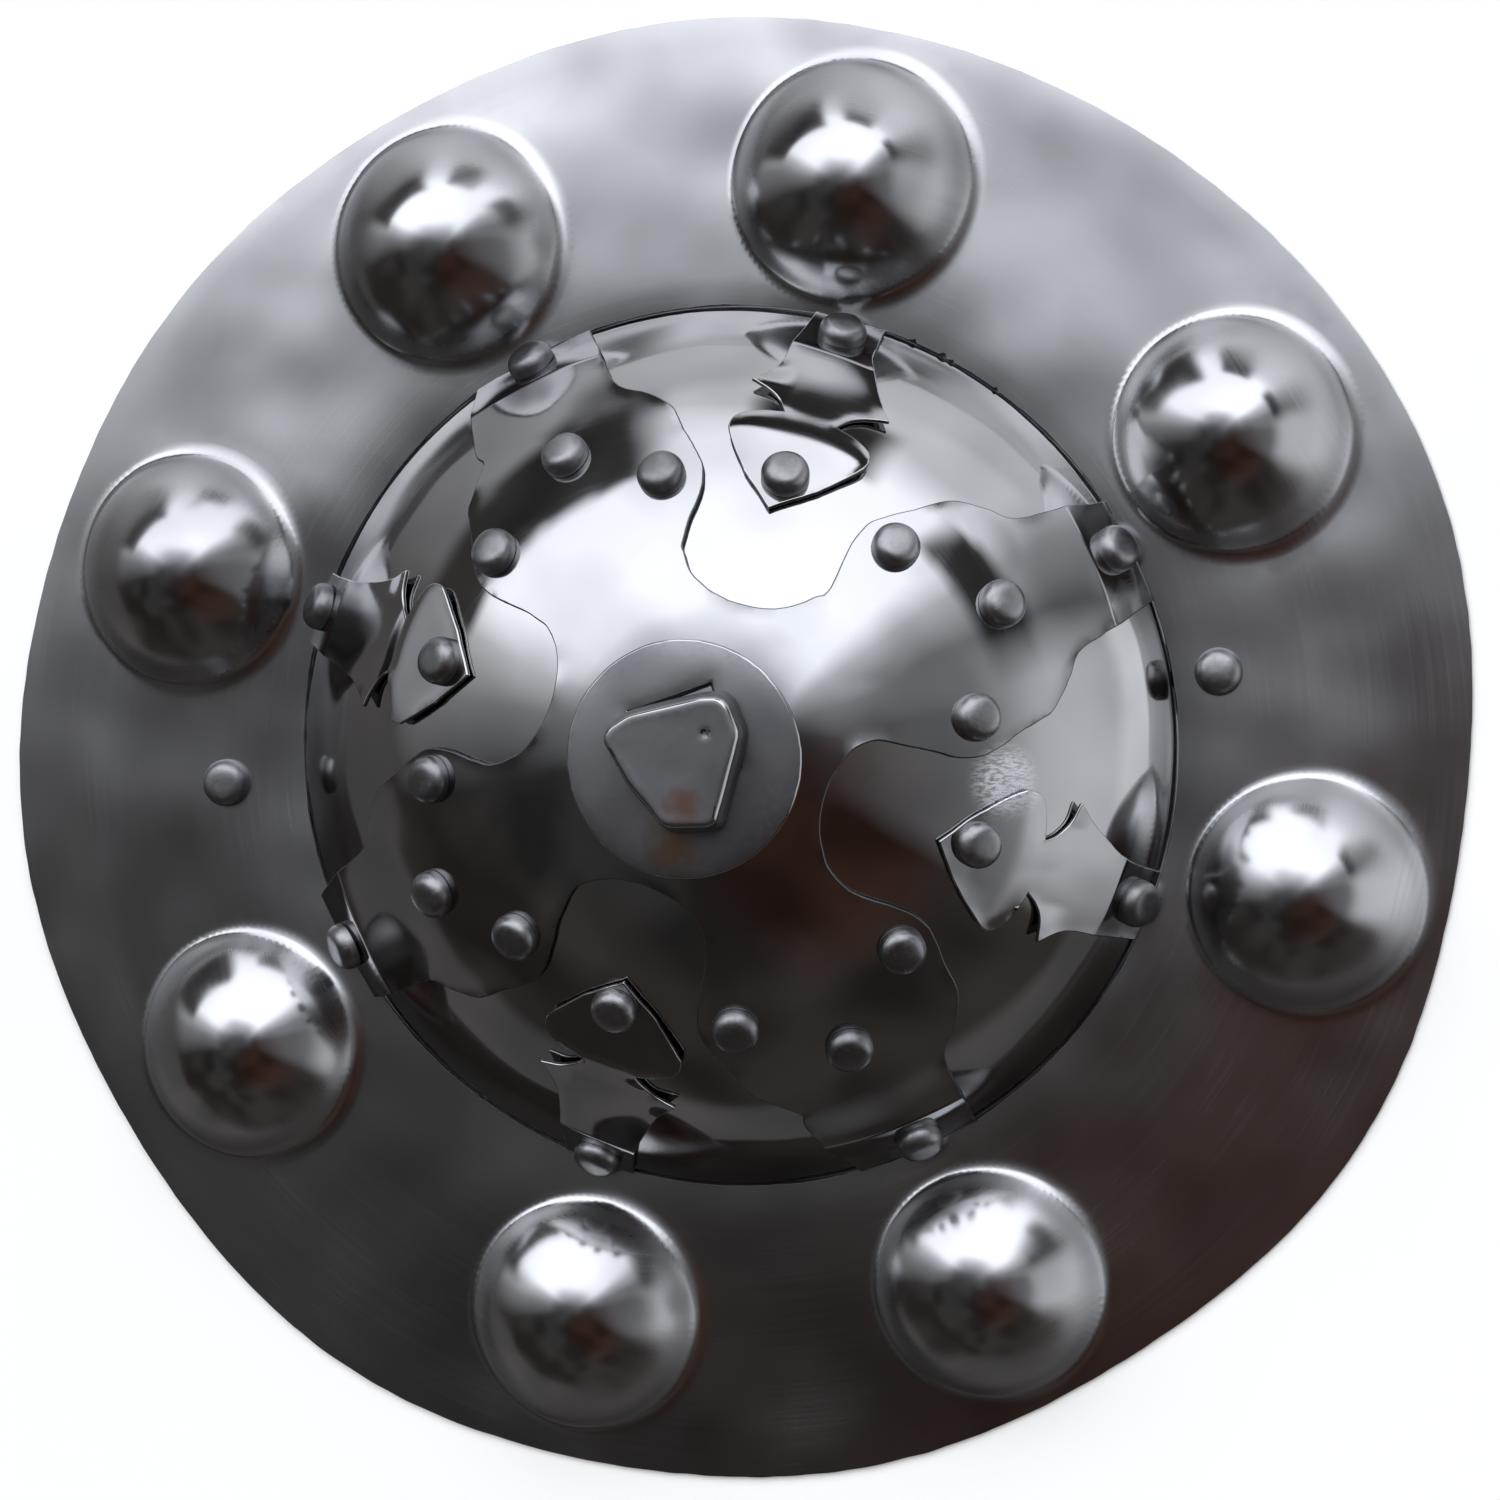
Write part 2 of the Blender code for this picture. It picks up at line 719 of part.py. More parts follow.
def band(low, low_count, high, high_count):
    """Faces between two polygon rings, which may differ in their number of sides."""
    if low_count == high_count:
        n = low_count
        return [
            (low + i, low + (i + 1) % n, high + (i + 1) % n, high + i) for i in range(n)
        ]
    faces = []
    i = j = 0
    while i < low_count or j < high_count:
        if j == high_count or (i < low_count and (i + 0.5) * high_count <= (j + 0.5) * low_count):
            faces.append((low + i % low_count, low + (i + 1) % low_count, high + j % high_count))
            i += 1
        else:
            faces.append((low + i % low_count, high + (j + 1) % high_count, high + j % high_count))
            j += 1
    return faces


def rivet(name, seat, out, down, depth):
    """A rivet with a domed head that stands on the seat and a shank that goes down to the depth."""
    dome = []
    for share, lift in ((1.0, 0.0), (0.97, 0.28), (0.74, 0.74), (0.36, 1.0)):
        dome.append((HEAD_SEAT + HEAD_HEIGHT * lift, HEAD_RADIUS * share, HEAD_SIDES))
    shank = [(-depth, SHANK_RADIUS, SHANK_SIDES), (HEAD_SEAT, SHANK_RADIUS, SHANK_SIDES)]
    return lathe(name, "rivet_steel", seat, out, down, [*shank, *dome])


def build_rivets():
    through = COVER_CLEARANCE + COVER_THICK + BOWL_THICK + SHANK_TAIL
    named = {
        "lobe": LOBE_RIVETS,
        "heart": HEART_RIVETS,
        "foot": foot_places(ARM_FOOT_RIVETS + STRAP_FOOT_RIVETS),
    }
    for kind, places in named.items():
        for number, (arc, degrees, *lift) in enumerate(places, 1):
            out = bowl_direction(arc, degrees)
            down, _ = across(out)
            seat = pushed(SPHERE_CENTRE + out * (COVER_OUTSIDE + sum(lift)))
            rivet(f"rivet_{kind}_{number}", seat, out, down, through + sum(lift))
    for number, (distance, degrees) in enumerate(plate_places(), 1):
        x, y = polar(distance, degrees)
        out = plate_normal(x, y)
        outward = Vector((*polar(1, degrees), 0))
        down = (outward - out * outward.dot(out)).normalized()
        seat = Vector((x, y, plate_top(x, y)))
        depth = PLATE_THICK + GRIP_CLEARANCE + GRIP_THICK - GRIP_TAIL_RECESS
        rivet(f"rivet_plate_{number}", seat, out, down, depth)


def build_washer():
    """The dished washer: round edge, square hole, bent to the crown."""
    turn = math.radians(WASHER_HOLE_TURN + 45)
    hole = divided(ring(WASHER_HOLE_SIDE / math.sqrt(2), 4, WASHER_HOLE_CENTRE, turn), 2)
    edge = ring(WASHER_RADIUS, WASHER_SIDES, WASHER_CENTRE)
    inner = []
    for share in WASHER_RINGS:
        inner += ring(WASHER_RADIUS * share, WASHER_SIDES // 2, WASHER_CENTRE)

    def at(x, y, lift):
        away = COVER_OUTSIDE + WASHER_CLEARANCE + lift
        drop = away - math.sqrt(away**2 - x * x - y * y)
        return Vector((x, y, SPHERE_Z + away - drop))

    piece = sheet(
        "umbo_washer",
        "rivet_steel",
        edge,
        [hole],
        [],
        loose_inside(inner, edge, [hole], WASHER_POINT_GAP),
        lambda x, y: at(x, y, 0.0),
    )
    thicken(piece, WASHER_THICK, outward=True)
    chamfer = piece.modifiers.new("edge", "BEVEL")
    chamfer.width = WASHER_EDGE * MM
    chamfer.segments = 1
    chamfer.limit_method = "ANGLE"
    chamfer.angle_limit = math.radians(60)
    return piece


def build_stud():
    """The stud: a five-sided head with a flat top and softened edges, on a round shank."""
    top = [Vector(c) for c in STUD_CORNERS]
    middle = sum(top, Vector((0, 0))) / len(top)
    washer_top = CROWN_Z + COVER_CLEARANCE + COVER_THICK + WASHER_CLEARANCE + WASHER_THICK
    base = washer_top + STUD_HEAD_CLEARANCE
    count = len(top)
    head_top = base + STUD_HEAD_HEIGHT
    rows = (
        (base, STUD_FLARE),
        (head_top - STUD_BEVEL, STUD_EDGE_FLARE),
        (head_top, -STUD_BEVEL),
    )
    points = []
    for z, grow in rows:
        for corner in top:
            away = corner - middle
            spot = corner + away.normalized() * grow
            points.append(Vector((spot.x, spot.y, z)))
    faces = []
    for row in range(len(rows) - 1):
        faces += band(row * count, count, (row + 1) * count, count)
    faces.append([(len(rows) - 1) * count + i for i in range(count)])
    tail = CROWN_Z - BOWL_THICK - SHANK_TAIL
    first = len(points)
    for z in (base, tail):
        points += [Vector((x, y, z)) for x, y in ring(STUD_SHANK_RADIUS, STUD_SHANK_SIDES)]
    second = first + STUD_SHANK_SIDES
    faces += band(second, STUD_SHANK_SIDES, first, STUD_SHANK_SIDES)
    faces.append([second + i for i in range(STUD_SHANK_SIDES)][::-1])
    stud = new_object("umbo_stud", "rivet_steel", points, faces)
    work = bmesh.new()
    work.from_mesh(stud.data)
    rim = [e for e in work.edges if e.is_boundary]
    bmesh.ops.triangle_fill(work, edges=rim, use_beauty=True)
    bmesh.ops.recalc_face_normals(work, faces=work.faces)
    work.to_mesh(stud.data)
    work.free()
    return stud


def grip_line():
    """Ends, direction and sideways direction of the grip, level with the plate."""
    right, left = (Vector(polar(*place)) for place in plate_places())
    along = (right - left).normalized()
    return right, left, along, Vector((-along.y, along.x))


def grip_end(sign):
    """The rivet of the left (-1) or right (1) end, and the outer and inner edge of the step there."""
    rivet_away, degrees = plate_places()[0 if sign > 0 else 1]
    edge = BOWL_FOOT_RADIUS + foot_push(degrees) + FLANGE_WIDTH
    return rivet_away, degrees, edge + GRIP_STEP[1], edge + GRIP_STEP[0]


def grip_low():
    """Height of the bar's upper side where it passes under the flange."""
    edges = []
    for sign in (-1, 1):
        _, degrees, _, inner = grip_end(sign)
        edges.append(below_plate(*polar(inner, degrees)))
    return min(edges) - BOWL_THICK - GRIP_CLEARANCE


def grip_top(u, base, along):
    """Height of the bar's upper side at a distance along its line."""
    away = (base + along * u).length
    rivet_away, degrees, outer, inner = grip_end(1 if u > 0 else -1)
    rivet_place = polar(rivet_away, degrees)
    out = plate_normal(*rivet_place)
    slope = math.hypot(out.x, out.y) / out.z
    low = grip_low()
    pad = below_plate(*rivet_place) - slope * (abs(u) - abs(Vector(rivet_place).dot(along)))
    if away >= outer:
        return pad
    if away >= inner:
        return low + (pad - low) * (away - inner) / (outer - inner)
    share = between(away, BOWL_FOOT_RADIUS - GRIP_RISE_TO, BOWL_FOOT_RADIUS - GRIP_RISE_FROM)
    return GRIP_HEIGHT + (low - GRIP_HEIGHT) * share * share * (3 - 2 * share)


def build_grip():
    """The flat bar behind the plate, stepped under the bowl's flange and raised in the middle."""
    right, left, along, side = grip_line()
    base = right - along * right.dot(along)
    ends = (left.dot(along), right.dot(along))
    half = GRIP_WIDTH / 2

    def flat_u(away, sign):
        return sign * math.sqrt(away**2 - base.length_squared)

    spacing = (GRIP_RISE_TO - GRIP_RISE_FROM) / (GRIP_RISE_BENDS + 1)
    rise = [BOWL_FOOT_RADIUS - GRIP_RISE_FROM - spacing * i for i in range(GRIP_RISE_BENDS + 2)]
    stops = []
    for sign, end in ((-1, ends[0]), (1, ends[1])):
        for away in (*grip_end(sign)[2:], *rise):
            stops.append(flat_u(away, sign))
        stops.append(end + sign * GRIP_END_PAST_RIVET)
        stops.append(end + sign * (GRIP_END_PAST_RIVET - GRIP_CORNER_CUT[0]))
    stops.sort()
    lower = []
    for u in stops:
        tip = u in (stops[0], stops[-1])
        lower.append((u, GRIP_CORNER_CUT[1] - half if tip else -half))
    outline = lower + [(u, -v) for u, v in reversed(lower)]
    holes = [ring(RIVET_HOLE_RADIUS, SHANK_SIDES, (end, 0.0)) for end in ends]

    def shape(u, v):
        spot = base + along * u + side * v
        return Vector((spot.x, spot.y, grip_top(u, base, along)))

    bends = [[(u, -half), (u, half)] for u in stops[1:-1]]
    bar = sheet("grip_bar", "bar_steel", outline, holes, bends, [], shape)
    thicken(bar, GRIP_THICK, outward=False)

    middle = sum(ends) / 2
    wide, tall = WRAP_SIZE
    bar_middle = GRIP_HEIGHT - GRIP_THICK / 2
    points = []
    for i in range(WRAP_SECTIONS):
        share = i / (WRAP_SECTIONS - 1)
        u = middle + WRAP_LENGTH * (share - 0.5)
        swell = 1 + WRAP_BARREL * math.sin(math.pi * share)
        for x, y in ring(0.5, WRAP_SIDES, turn=math.pi / WRAP_SIDES):
            spot = base + along * u + side * (x * wide * swell)
            points.append(Vector((spot.x, spot.y, bar_middle + y * tall * swell)))
    faces = []
    for i in range(WRAP_SECTIONS - 1):
        faces += band(i * WRAP_SIDES, WRAP_SIDES, (i + 1) * WRAP_SIDES, WRAP_SIDES)
    slot = (half + WRAP_CLEARANCE, GRIP_THICK / 2 + WRAP_CLEARANCE)
    first = len(points)
    for share in (0, 1):
        u = middle + WRAP_LENGTH * (share - 0.5)
        for x, y in ((1, 1), (-1, 1), (-1, -1), (1, -1)):
            spot = base + along * u + side * (x * slot[0])
            points.append(Vector((spot.x, spot.y, bar_middle + y * slot[1])))
    faces += band(first, 4, first + 4, 4)
    last = (WRAP_SECTIONS - 1) * WRAP_SIDES
    faces += band(0, WRAP_SIDES, first, 4)
    faces += band(last, WRAP_SIDES, first + 4, 4)
    wrap = new_object("grip_wrap", "leather", points, faces)
    work = bmesh.new()
    work.from_mesh(wrap.data)
    bmesh.ops.recalc_face_normals(work, faces=work.faces)
    work.to_mesh(wrap.data)
    work.free()


def clear_scene():
    for obj in list(bpy.data.objects):
        bpy.data.objects.remove(obj, do_unlink=True)


def make_materials():
    for name, (colour, roughness, metallic) in MATERIALS.items():
        material = bpy.data.materials.new(name)
        material.use_nodes = True
        shader = material.node_tree.nodes["Principled BSDF"]
        shader.inputs["Base Color"].default_value = (*colour, 1)
        shader.inputs["Roughness"].default_value = roughness
        shader.inputs["Metallic"].default_value = metallic
        material.diffuse_color = (*colour, 1)


clear_scene()
make_materials()
build_plate()
build_bowl()
build_cross_plate()
for number in range(4):
    build_strap(number)
build_washer()
build_stud()
build_rivets()
build_grip()
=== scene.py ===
# %% [markdown]
# # A round steel hand shield
# The shield is cold-worked sheet steel: a dished plate with eight raised bosses, a deep bowl through its middle,
# a four-lobed plate and four barbed hearts riveted over the bowl, and a bar to hold behind it.
# It lies on its back, face up. This lesson dresses the plain solids of the frame with finer pieces.
# Sheets are cut flat and bent by a rule, as the smith would do it, and the rest is built ring by ring,
# so that every size comes from a few numbers.

import math

import bmesh
import bpy
import numpy as np
from mathutils import Matrix, Vector, geometry, noise


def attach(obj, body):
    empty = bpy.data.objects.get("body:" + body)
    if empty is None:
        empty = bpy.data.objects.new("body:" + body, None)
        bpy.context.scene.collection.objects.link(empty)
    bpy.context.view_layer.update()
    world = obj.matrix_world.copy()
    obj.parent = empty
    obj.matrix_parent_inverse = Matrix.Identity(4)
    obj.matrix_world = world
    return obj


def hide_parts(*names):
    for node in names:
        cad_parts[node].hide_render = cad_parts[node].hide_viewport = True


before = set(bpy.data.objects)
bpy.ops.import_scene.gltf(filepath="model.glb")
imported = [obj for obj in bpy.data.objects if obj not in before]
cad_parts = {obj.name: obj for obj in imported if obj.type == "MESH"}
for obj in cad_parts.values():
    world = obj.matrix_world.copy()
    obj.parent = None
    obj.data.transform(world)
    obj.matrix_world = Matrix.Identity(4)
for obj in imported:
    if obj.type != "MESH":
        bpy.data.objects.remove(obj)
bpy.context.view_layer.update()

# %% [markdown]
# ## Measures
# All shapes are worked out in millimetres about the bowl's upright axis and moved to the frame at the end.
# The rim was cut by hand, so it isn't a true circle. A few slow waves round the turn give it its own outline,
# which is easier to read and to change than a list of edge points.

# %% Measures about the bowl's axis
MM = 0.001
AXIS = Vector((4.952, 1.3612, 0.0))
RIM_RADIUS = 226.5
# Waves of the rim: how many in a turn, height, degrees of one crest.
RIM_WAVES = (
    (1, 4.24, -158), (2, 3.24, 25), (3, 0.40, 19), (5, 0.87, 29), (6, 0.50, 24), (7, 0.73, -25), (8, 0.65, 11),
)
PLATE_THICK = 1.6
PLATE_RISE = 12.5
BALL = 152.0
FOOT = 134.0
FOOT_WAVES = ((1, 1.3, 180), (2, 1.05, 0))
FOOT_PUSH = 1.15
PUSH_HEIGHT = 36.0
PATTERN_FOOT = 164.0
BOWL_THICK = 2.0
COVER_THICK = 1.5
FOOT_Z = PLATE_THICK + PLATE_RISE
BALL_Z = FOOT_Z - math.sqrt(BALL**2 - FOOT**2)
CENTRE = Vector((0, 0, BALL_Z))
FOOT_LEAN = math.asin(FOOT / BALL)
BAND = RIM_RADIUS - FOOT
print("bowl's foot at", round(FOOT_Z, 1), "mm, its crown at", round(BALL_Z + BALL, 1), "mm")

# %% [markdown]
# Small helpers come first: a sum of waves, a share between two limits, and places given by distance and angle.

# %% Waves and places
def waves(turn, table):
    return sum(h * math.cos(n * (turn - math.radians(crest))) for n, h, crest in table)


def rim_radius(turn):
    return RIM_RADIUS + waves(turn, RIM_WAVES)


def between(value, low, high):
    return max(0.0, min(1.0, (value - low) / (high - low)))


def soft(share):
    return share * share * (3 - 2 * share)


def polar(distance, degrees):
    turn = math.radians(degrees)
    return distance * math.cos(turn), distance * math.sin(turn)


def angle_of(x, y):
    return math.degrees(math.atan2(y, x))


def apart(a, b):
    """Smallest angle between two directions round the axis, in degrees, signed."""
    return (a - b + 180) % 360 - 180


print("rim from", round(min(rim_radius(a / 20) for a in range(126)), 1),
      "to", round(max(rim_radius(a / 20) for a in range(126)), 1), "mm")

# %% [markdown]
# Two surfaces carry everything else: the plate's even dish, and the ball that the bowl is part of.
# A place on the bowl is named by its distance from the crown on a flat pattern, and its angle round the axis.

# %% Dish and ball
def plate_top(x, y):
    rim = rim_radius(math.atan2(y, x)) ** 2
    return PLATE_THICK + PLATE_RISE * (1 - (x * x + y * y - FOOT**2) / (rim - FOOT**2))


def plate_normal(x, y):
    dx = plate_top(x + 0.5, y) - plate_top(x - 0.5, y)
    dy = plate_top(x, y + 0.5) - plate_top(x, y - 0.5)
    return Vector((-dx, -dy, 1)).normalized()


def lean_of(arc):
    """Flat patterns are stretched so that PATTERN_FOOT comes to the bowl's foot."""
    return arc / PATTERN_FOOT * FOOT_LEAN


def arc_of(lean):
    return lean / FOOT_LEAN * PATTERN_FOOT


def on_ball(arc, degrees):
    lean = lean_of(arc)
    x, y = polar(math.sin(lean), degrees)
    return Vector((x, y, math.cos(lean)))


def foot_push(degrees):
    return FOOT_PUSH + waves(math.radians(degrees), FOOT_WAVES)


def pushed(point):
    """The bowl's foot is a little out of round, so places near it move out."""
    low = soft(between(FOOT_Z + PUSH_HEIGHT - point.z, 0.0, PUSH_HEIGHT))
    push = foot_push(angle_of(point.x, point.y)) * low
    return point + Vector((*polar(push, angle_of(point.x, point.y)), 0.0))


print("plate's middle would be at", round(plate_top(0.0, 0.0), 1), "mm")

# %% [markdown]
# ## Hammer marks
# Sheet that was raised by hand is never quite even, and a polish shows it: reflections wobble.
# Bump in a material can't do that on a mirror finish seen from the side, so the dents are in the mesh.
# Perlin noise has no seams and gives the same dents each time. Its scale is the width of a dent in millimetres.

# %% Dents
# Dents of the bowl: width, depth, seed.
BOWL_DENTS = ((38.0, 0.34, 3.1), (15.0, 0.08, 7.7))


def dent(point, width, depth, seed=0.0):
    """Height of soft dents of this width at a place, in millimetres."""
    spot = Vector(point) / width + Vector((seed, seed * 1.7, seed * 0.3))
    return depth * noise.noise(spot)


def dents(point, table):
    return sum(dent(point, *row) for row in table)


def bowl_dent(out):
    return dents(out * BALL, BOWL_DENTS)


print("one dent", round(dent((10, 20, 0), 38.0, 0.34), 3), "mm")

# %% [markdown]
# ## From flat pattern to sheet
# Every sheet is cut to an outline, filled with points a few millimetres apart and joined to triangles.
# An outline is a closed loop of points: a circle, a row of corners with more points between, or a spline.

# %% Outlines
def ring(radius, count, centre=(0.0, 0.0), turn=0.0):
    steps = [turn + 2 * math.pi * i / count for i in range(count)]
    return [(centre[0] + radius * math.cos(a), centre[1] + radius * math.sin(a)) for a in steps]


def resample(loop, spacing):
    """The same closed loop with corners this far apart, and its own corners kept."""
    points = []
    for i, end in enumerate(loop):
        start = loop[i - 1]
        parts = max(1, round(math.dist(start, end) / spacing))
        for step in range(parts):
            share = step / parts
            points.append(tuple(a + (b - a) * share for a, b in zip(start, end)))
    return points


def spline(points, per_span):
    """A smooth curve through points, with this many steps between two of them."""
    ends = [points[0], *points, points[-1]]
    curve = []
    for i in range(1, len(ends) - 2):
        a, b, c, d = (np.array(ends[i + k]) for k in (-1, 0, 1, 2))
        for step in range(per_span):
            t = step / per_span
            curve.append(b + t * ((c - a) + t * (2 * a - 5 * b + 4 * c - d + t * (3 * b - a - 3 * c + d))) / 2)
    return [tuple(p) for p in (*curve, np.array(points[-1]))]


print("a square in steps of 1:", len(resample(ring(1.0, 4), 1.0)), "points")

# %% [markdown]
# Two questions come up all the time: is a point inside an outline, and how far is it from the edge?
# Both are answered for many points at once, because a loop over single points would be slow.

# %% Inside and near
def inside(points, loop):
    """For each point, whether it is inside the closed loop."""
    p = np.asarray(points, float)
    found = np.zeros(len(p), bool)
    for (x0, y0), (x1, y1) in zip(np.roll(loop, 1, axis=0), loop):
        if y0 == y1:
            continue
        crosses = (y1 > p[:, 1]) != (y0 > p[:, 1])
        found ^= crosses & (p[:, 0] < (x0 - x1) * (p[:, 1] - y1) / (y0 - y1) + x1)
    return found


def distance_to(points, loop):
    """For each point, how far it is from the loop."""
    p = np.asarray(points, float)
    near = np.full(len(p), 1e9)
    for a, b in zip(np.roll(loop, 1, axis=0), np.asarray(loop, float)):
        side = b - a
        share = np.clip(((p - a) @ side) / max(side @ side, 1e-12), 0, 1)
        near = np.minimum(near, np.hypot(*(p - a - share[:, None] * side).T))
    return near


print("middle of a disc to its edge:", round(distance_to([(0, 0)], ring(5.0, 40))[0], 2))

# %% [markdown]
# A grid of points fills the outline. Those outside it, in a hole or crowded against an edge are left out,
# because they would make thin slivers, and slivers show as creases on polished metal.

# %% Points on a sheet
def grid_points(loop, spacing):
    """A grid of staggered points over a loop's box."""
    low, high = np.min(loop, axis=0), np.max(loop, axis=0)
    rows = np.arange(low[1], high[1], spacing * 0.866)
    cols = np.arange(low[0], high[0] + spacing, spacing)
    return np.array([(x + spacing / 2 * (i % 2), y) for i, y in enumerate(rows) for x in cols])


def on_sheet(points, outline, holes):
    keep = inside(points, outline)
    for hole in holes:
        keep &= ~inside(points, hole)
    return keep


def fill(outline, holes, points, gap):
    """Those of the points that lie on the sheet and aren't crowded against its edges."""
    points = points[on_sheet(points, outline, holes)]
    for loop in (outline, *holes):
        points = points[distance_to(points, loop) > gap]
    return points


print("points on a disc:", len(fill(ring(5.0, 40), [], grid_points(ring(5.0, 40), 1.0), 0.5)))

# %% [markdown]
# Each piece becomes one object that rides the frame's body and stands for nodes of the frame.
# Turned pieces, such as the bowl and the rivets, get their faces from ring to ring.

# %% Pieces
def skin(rows, sides, first=0):
    """Faces between rings of points that follow one another."""
    starts = range(first, first + (rows - 1) * sides, sides)
    return [(a + i, a + (i + 1) % sides, a + sides + (i + 1) % sides, a + sides + i)
            for a in starts for i in range(sides)]


def new_piece(name, points, faces, material, nodes, closed=False):
    """A mesh from points in millimetres about the bowl's axis. It stands for frame nodes."""
    mesh = bpy.data.meshes.new(name)
    mesh.from_pydata([(Vector(p) + AXIS) * MM for p in points], [], faces)
    work = bmesh.new()
    work.from_mesh(mesh)
    bmesh.ops.remove_doubles(work, verts=work.verts, dist=1e-6)
    bmesh.ops.delete(work, geom=[v for v in work.verts if not v.link_faces], context="VERTS")
    if closed:
        bmesh.ops.dissolve_degenerate(work, edges=work.edges, dist=1e-6)
        bmesh.ops.recalc_face_normals(work, faces=work.faces)
    work.to_mesh(mesh)
    work.free()
    mesh.polygons.foreach_set("use_smooth", [True] * len(mesh.polygons))
    mesh.materials.append(material)
    piece = bpy.data.objects.new(name, mesh)
    bpy.context.scene.collection.objects.link(piece)
    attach(piece, "root")
    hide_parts(*nodes)
    return piece


print("faces between two rings of 8:", len(skin(2, 8)))

# %% [markdown]
# A constrained Delaunay net joins the points and follows any outline. The flat net is then bent by a function,
# Solidify gives the thickness, and a small Bevel breaks the sharp edge, because it is this rounded edge that
# catches a line of light.

# %% Sheets
EDGE_ANGLE = 55


def cut_sheet(name, outline, holes, points, shape, material, nodes):
    """A flat net of triangles, bent to shape(x, y, near), where near is the distance to the nearest edge."""
    coords, edges = [], []
    for loop in (outline, *holes):
        first = len(coords)
        coords += [tuple(p) for p in loop]
        edges += [(first + i, first + (i + 1) % len(loop)) for i in range(len(loop))]
    coords += [tuple(p) for p in points]
    places, _, faces, *_ = geometry.delaunay_2d_cdt([Vector(p) for p in coords], edges, [], 1, 1e-5)
    flat = np.array([tuple(p) for p in places])
    faces = np.array([f for f in faces if len(f) == 3])
    keep = on_sheet(flat[faces].mean(1), outline, holes)
    near = np.min([distance_to(flat, loop) for loop in (outline, *holes)], axis=0)
    bent = [shape(x, y, edge) for (x, y), edge in zip(flat, near)]
    return new_piece(name, bent, faces[keep].tolist(), material, nodes)


def thicken(piece, thick, outward, edge, rim_shade_steel=None, segments=2, worn_steel=None):
    """Gives a sheet its thickness, a broken edge and, where they differ, the steels of the cut and the edge. A dark
    cut steel is painted shade of the gap under the sheet's edge.
    """
    solid = piece.modifiers.new("thickness", "SOLIDIFY")
    # A dark steel on the cut rim is painted shade of the gap under the edge.
    if rim_shade_steel:
        piece.data.materials.append(rim_shade_steel)
        solid.material_offset_rim = 1
    solid.thickness = thick * MM
    solid.offset = 1 if outward else -1
    solid.use_even_offset = True
    chamfer = piece.modifiers.new("broken edge", "BEVEL")
    chamfer.width = edge * MM
    chamfer.segments = segments
    chamfer.limit_method = "ANGLE"
    chamfer.angle_limit = math.radians(EDGE_ANGLE)
    chamfer.harden_normals = True
    if worn_steel:
        piece.data.materials.append(worn_steel)
        chamfer.material = len(piece.data.materials) - 1


print("an edge is broken where it turns by more than", EDGE_ANGLE, "degrees")

# %% [markdown]
# ## Colours and nodes
# Colours are written as on a colour card, in sRGB hex, and turned to the linear values that the shader needs.
# One helper adds a node with its settings and its links, so a material reads as a short list.

# %% Colour and node helpers
def linear(code):
    """sRGB hex to linear colour with alpha."""
    values = [int(code[i:i + 2], 16) / 255 for i in (1, 3, 5)]
    return (*[v / 12.92 if v <= 0.04045 else ((v + 0.055) / 1.055) ** 2.4 for v in values], 1.0)


def add(tree, kind, links=(), inputs=(), stops=(), **settings):
    """Adds a node. links are (input, node, output), inputs (input, value), stops (place, grey or colour).

    A Map Range has its ends at inputs 1 to 4: from low, from high, to low, to high.
    """
    made = tree.nodes.new("ShaderNode" + kind)
    for key, value in settings.items():
        setattr(made, key, value)
    for key, value in inputs:
        made.inputs[key].default_value = linear(value) if isinstance(value, str) else value
    for key, source, output in links:
        tree.links.new(source.outputs[output], made.inputs[key])
    for number, (place, value) in enumerate(stops):
        elements = made.color_ramp.elements
        stop = elements[number] if number < len(elements) else elements.new(place)
        stop.position = place
        stop.color = linear(value) if isinstance(value, str) else (value, value, value, 1.0)
    return made


def new_material(name):
    made = bpy.data.materials.new(name)
    made.use_nodes = True
    return made, made.node_tree, made.node_tree.nodes["Principled BSDF"]


print("white is", linear("#FFFFFF"))

# %% [markdown]
# ## Bare steel, polished by hand
# All the metal is mild steel sheet with no coating, ground with abrasive cloth and then buffed.
# Steel is a metal, so its colour is the tint of its reflection: a light grey, hardly blue.
# The bowl was buffed to a roughness near 0.06, the plate only to about 0.2, and what wasn't buffed lies above 0.35.
# What the eye reads as hand finish is haze: cloudy, with fine scratches that turn with the work.
# Both are noise. The scratches are noise stretched round the axis, with grit marks of half a millimetre,
# a little wider than real ones, because finer ones wouldn't show at this distance.

# %% Marks round the axis
GRIT_MARK = 0.55
ALONG_TURN = 4.0


def ring_marks(tree, here):
    """Noise stretched round the upright axis: narrow across, long along the turn."""
    level = add(tree, "VectorMath", here, [(1, (1, 1, 0))], operation="MULTIPLY")
    length = add(tree, "VectorMath", [(0, level, 0)], operation="LENGTH")
    heading = add(tree, "VectorMath", [(0, level, 0)], operation="NORMALIZE")
    turned = add(tree, "SeparateXYZ", [(0, heading, 0)])
    vector = add(tree, "CombineXYZ")
    parts = ((length, "Value", 1 / (GRIT_MARK * MM)), (turned, "X", ALONG_TURN), (turned, "Y", ALONG_TURN))
    for number, (source, output, scale) in enumerate(parts):
        scaled = add(tree, "Math", [(0, source, output)], [(1, scale)], operation="MULTIPLY")
        tree.links.new(scaled.outputs[0], vector.inputs[number])
    return add(tree, "TexNoise", [("Vector", vector, 0)], [("Scale", 1.0), ("Detail", 1.0)])


print("grit marks", GRIT_MARK, "mm wide")

# %% [markdown]
# One function makes every steel: clouds and marks add to its roughness, stains shift its tint,
# and the marks are also a slight relief. A steel then differs from the next only in its numbers.

# %% Worked steel
CLOUD = 55.0
STAIN = 0.7 * CLOUD
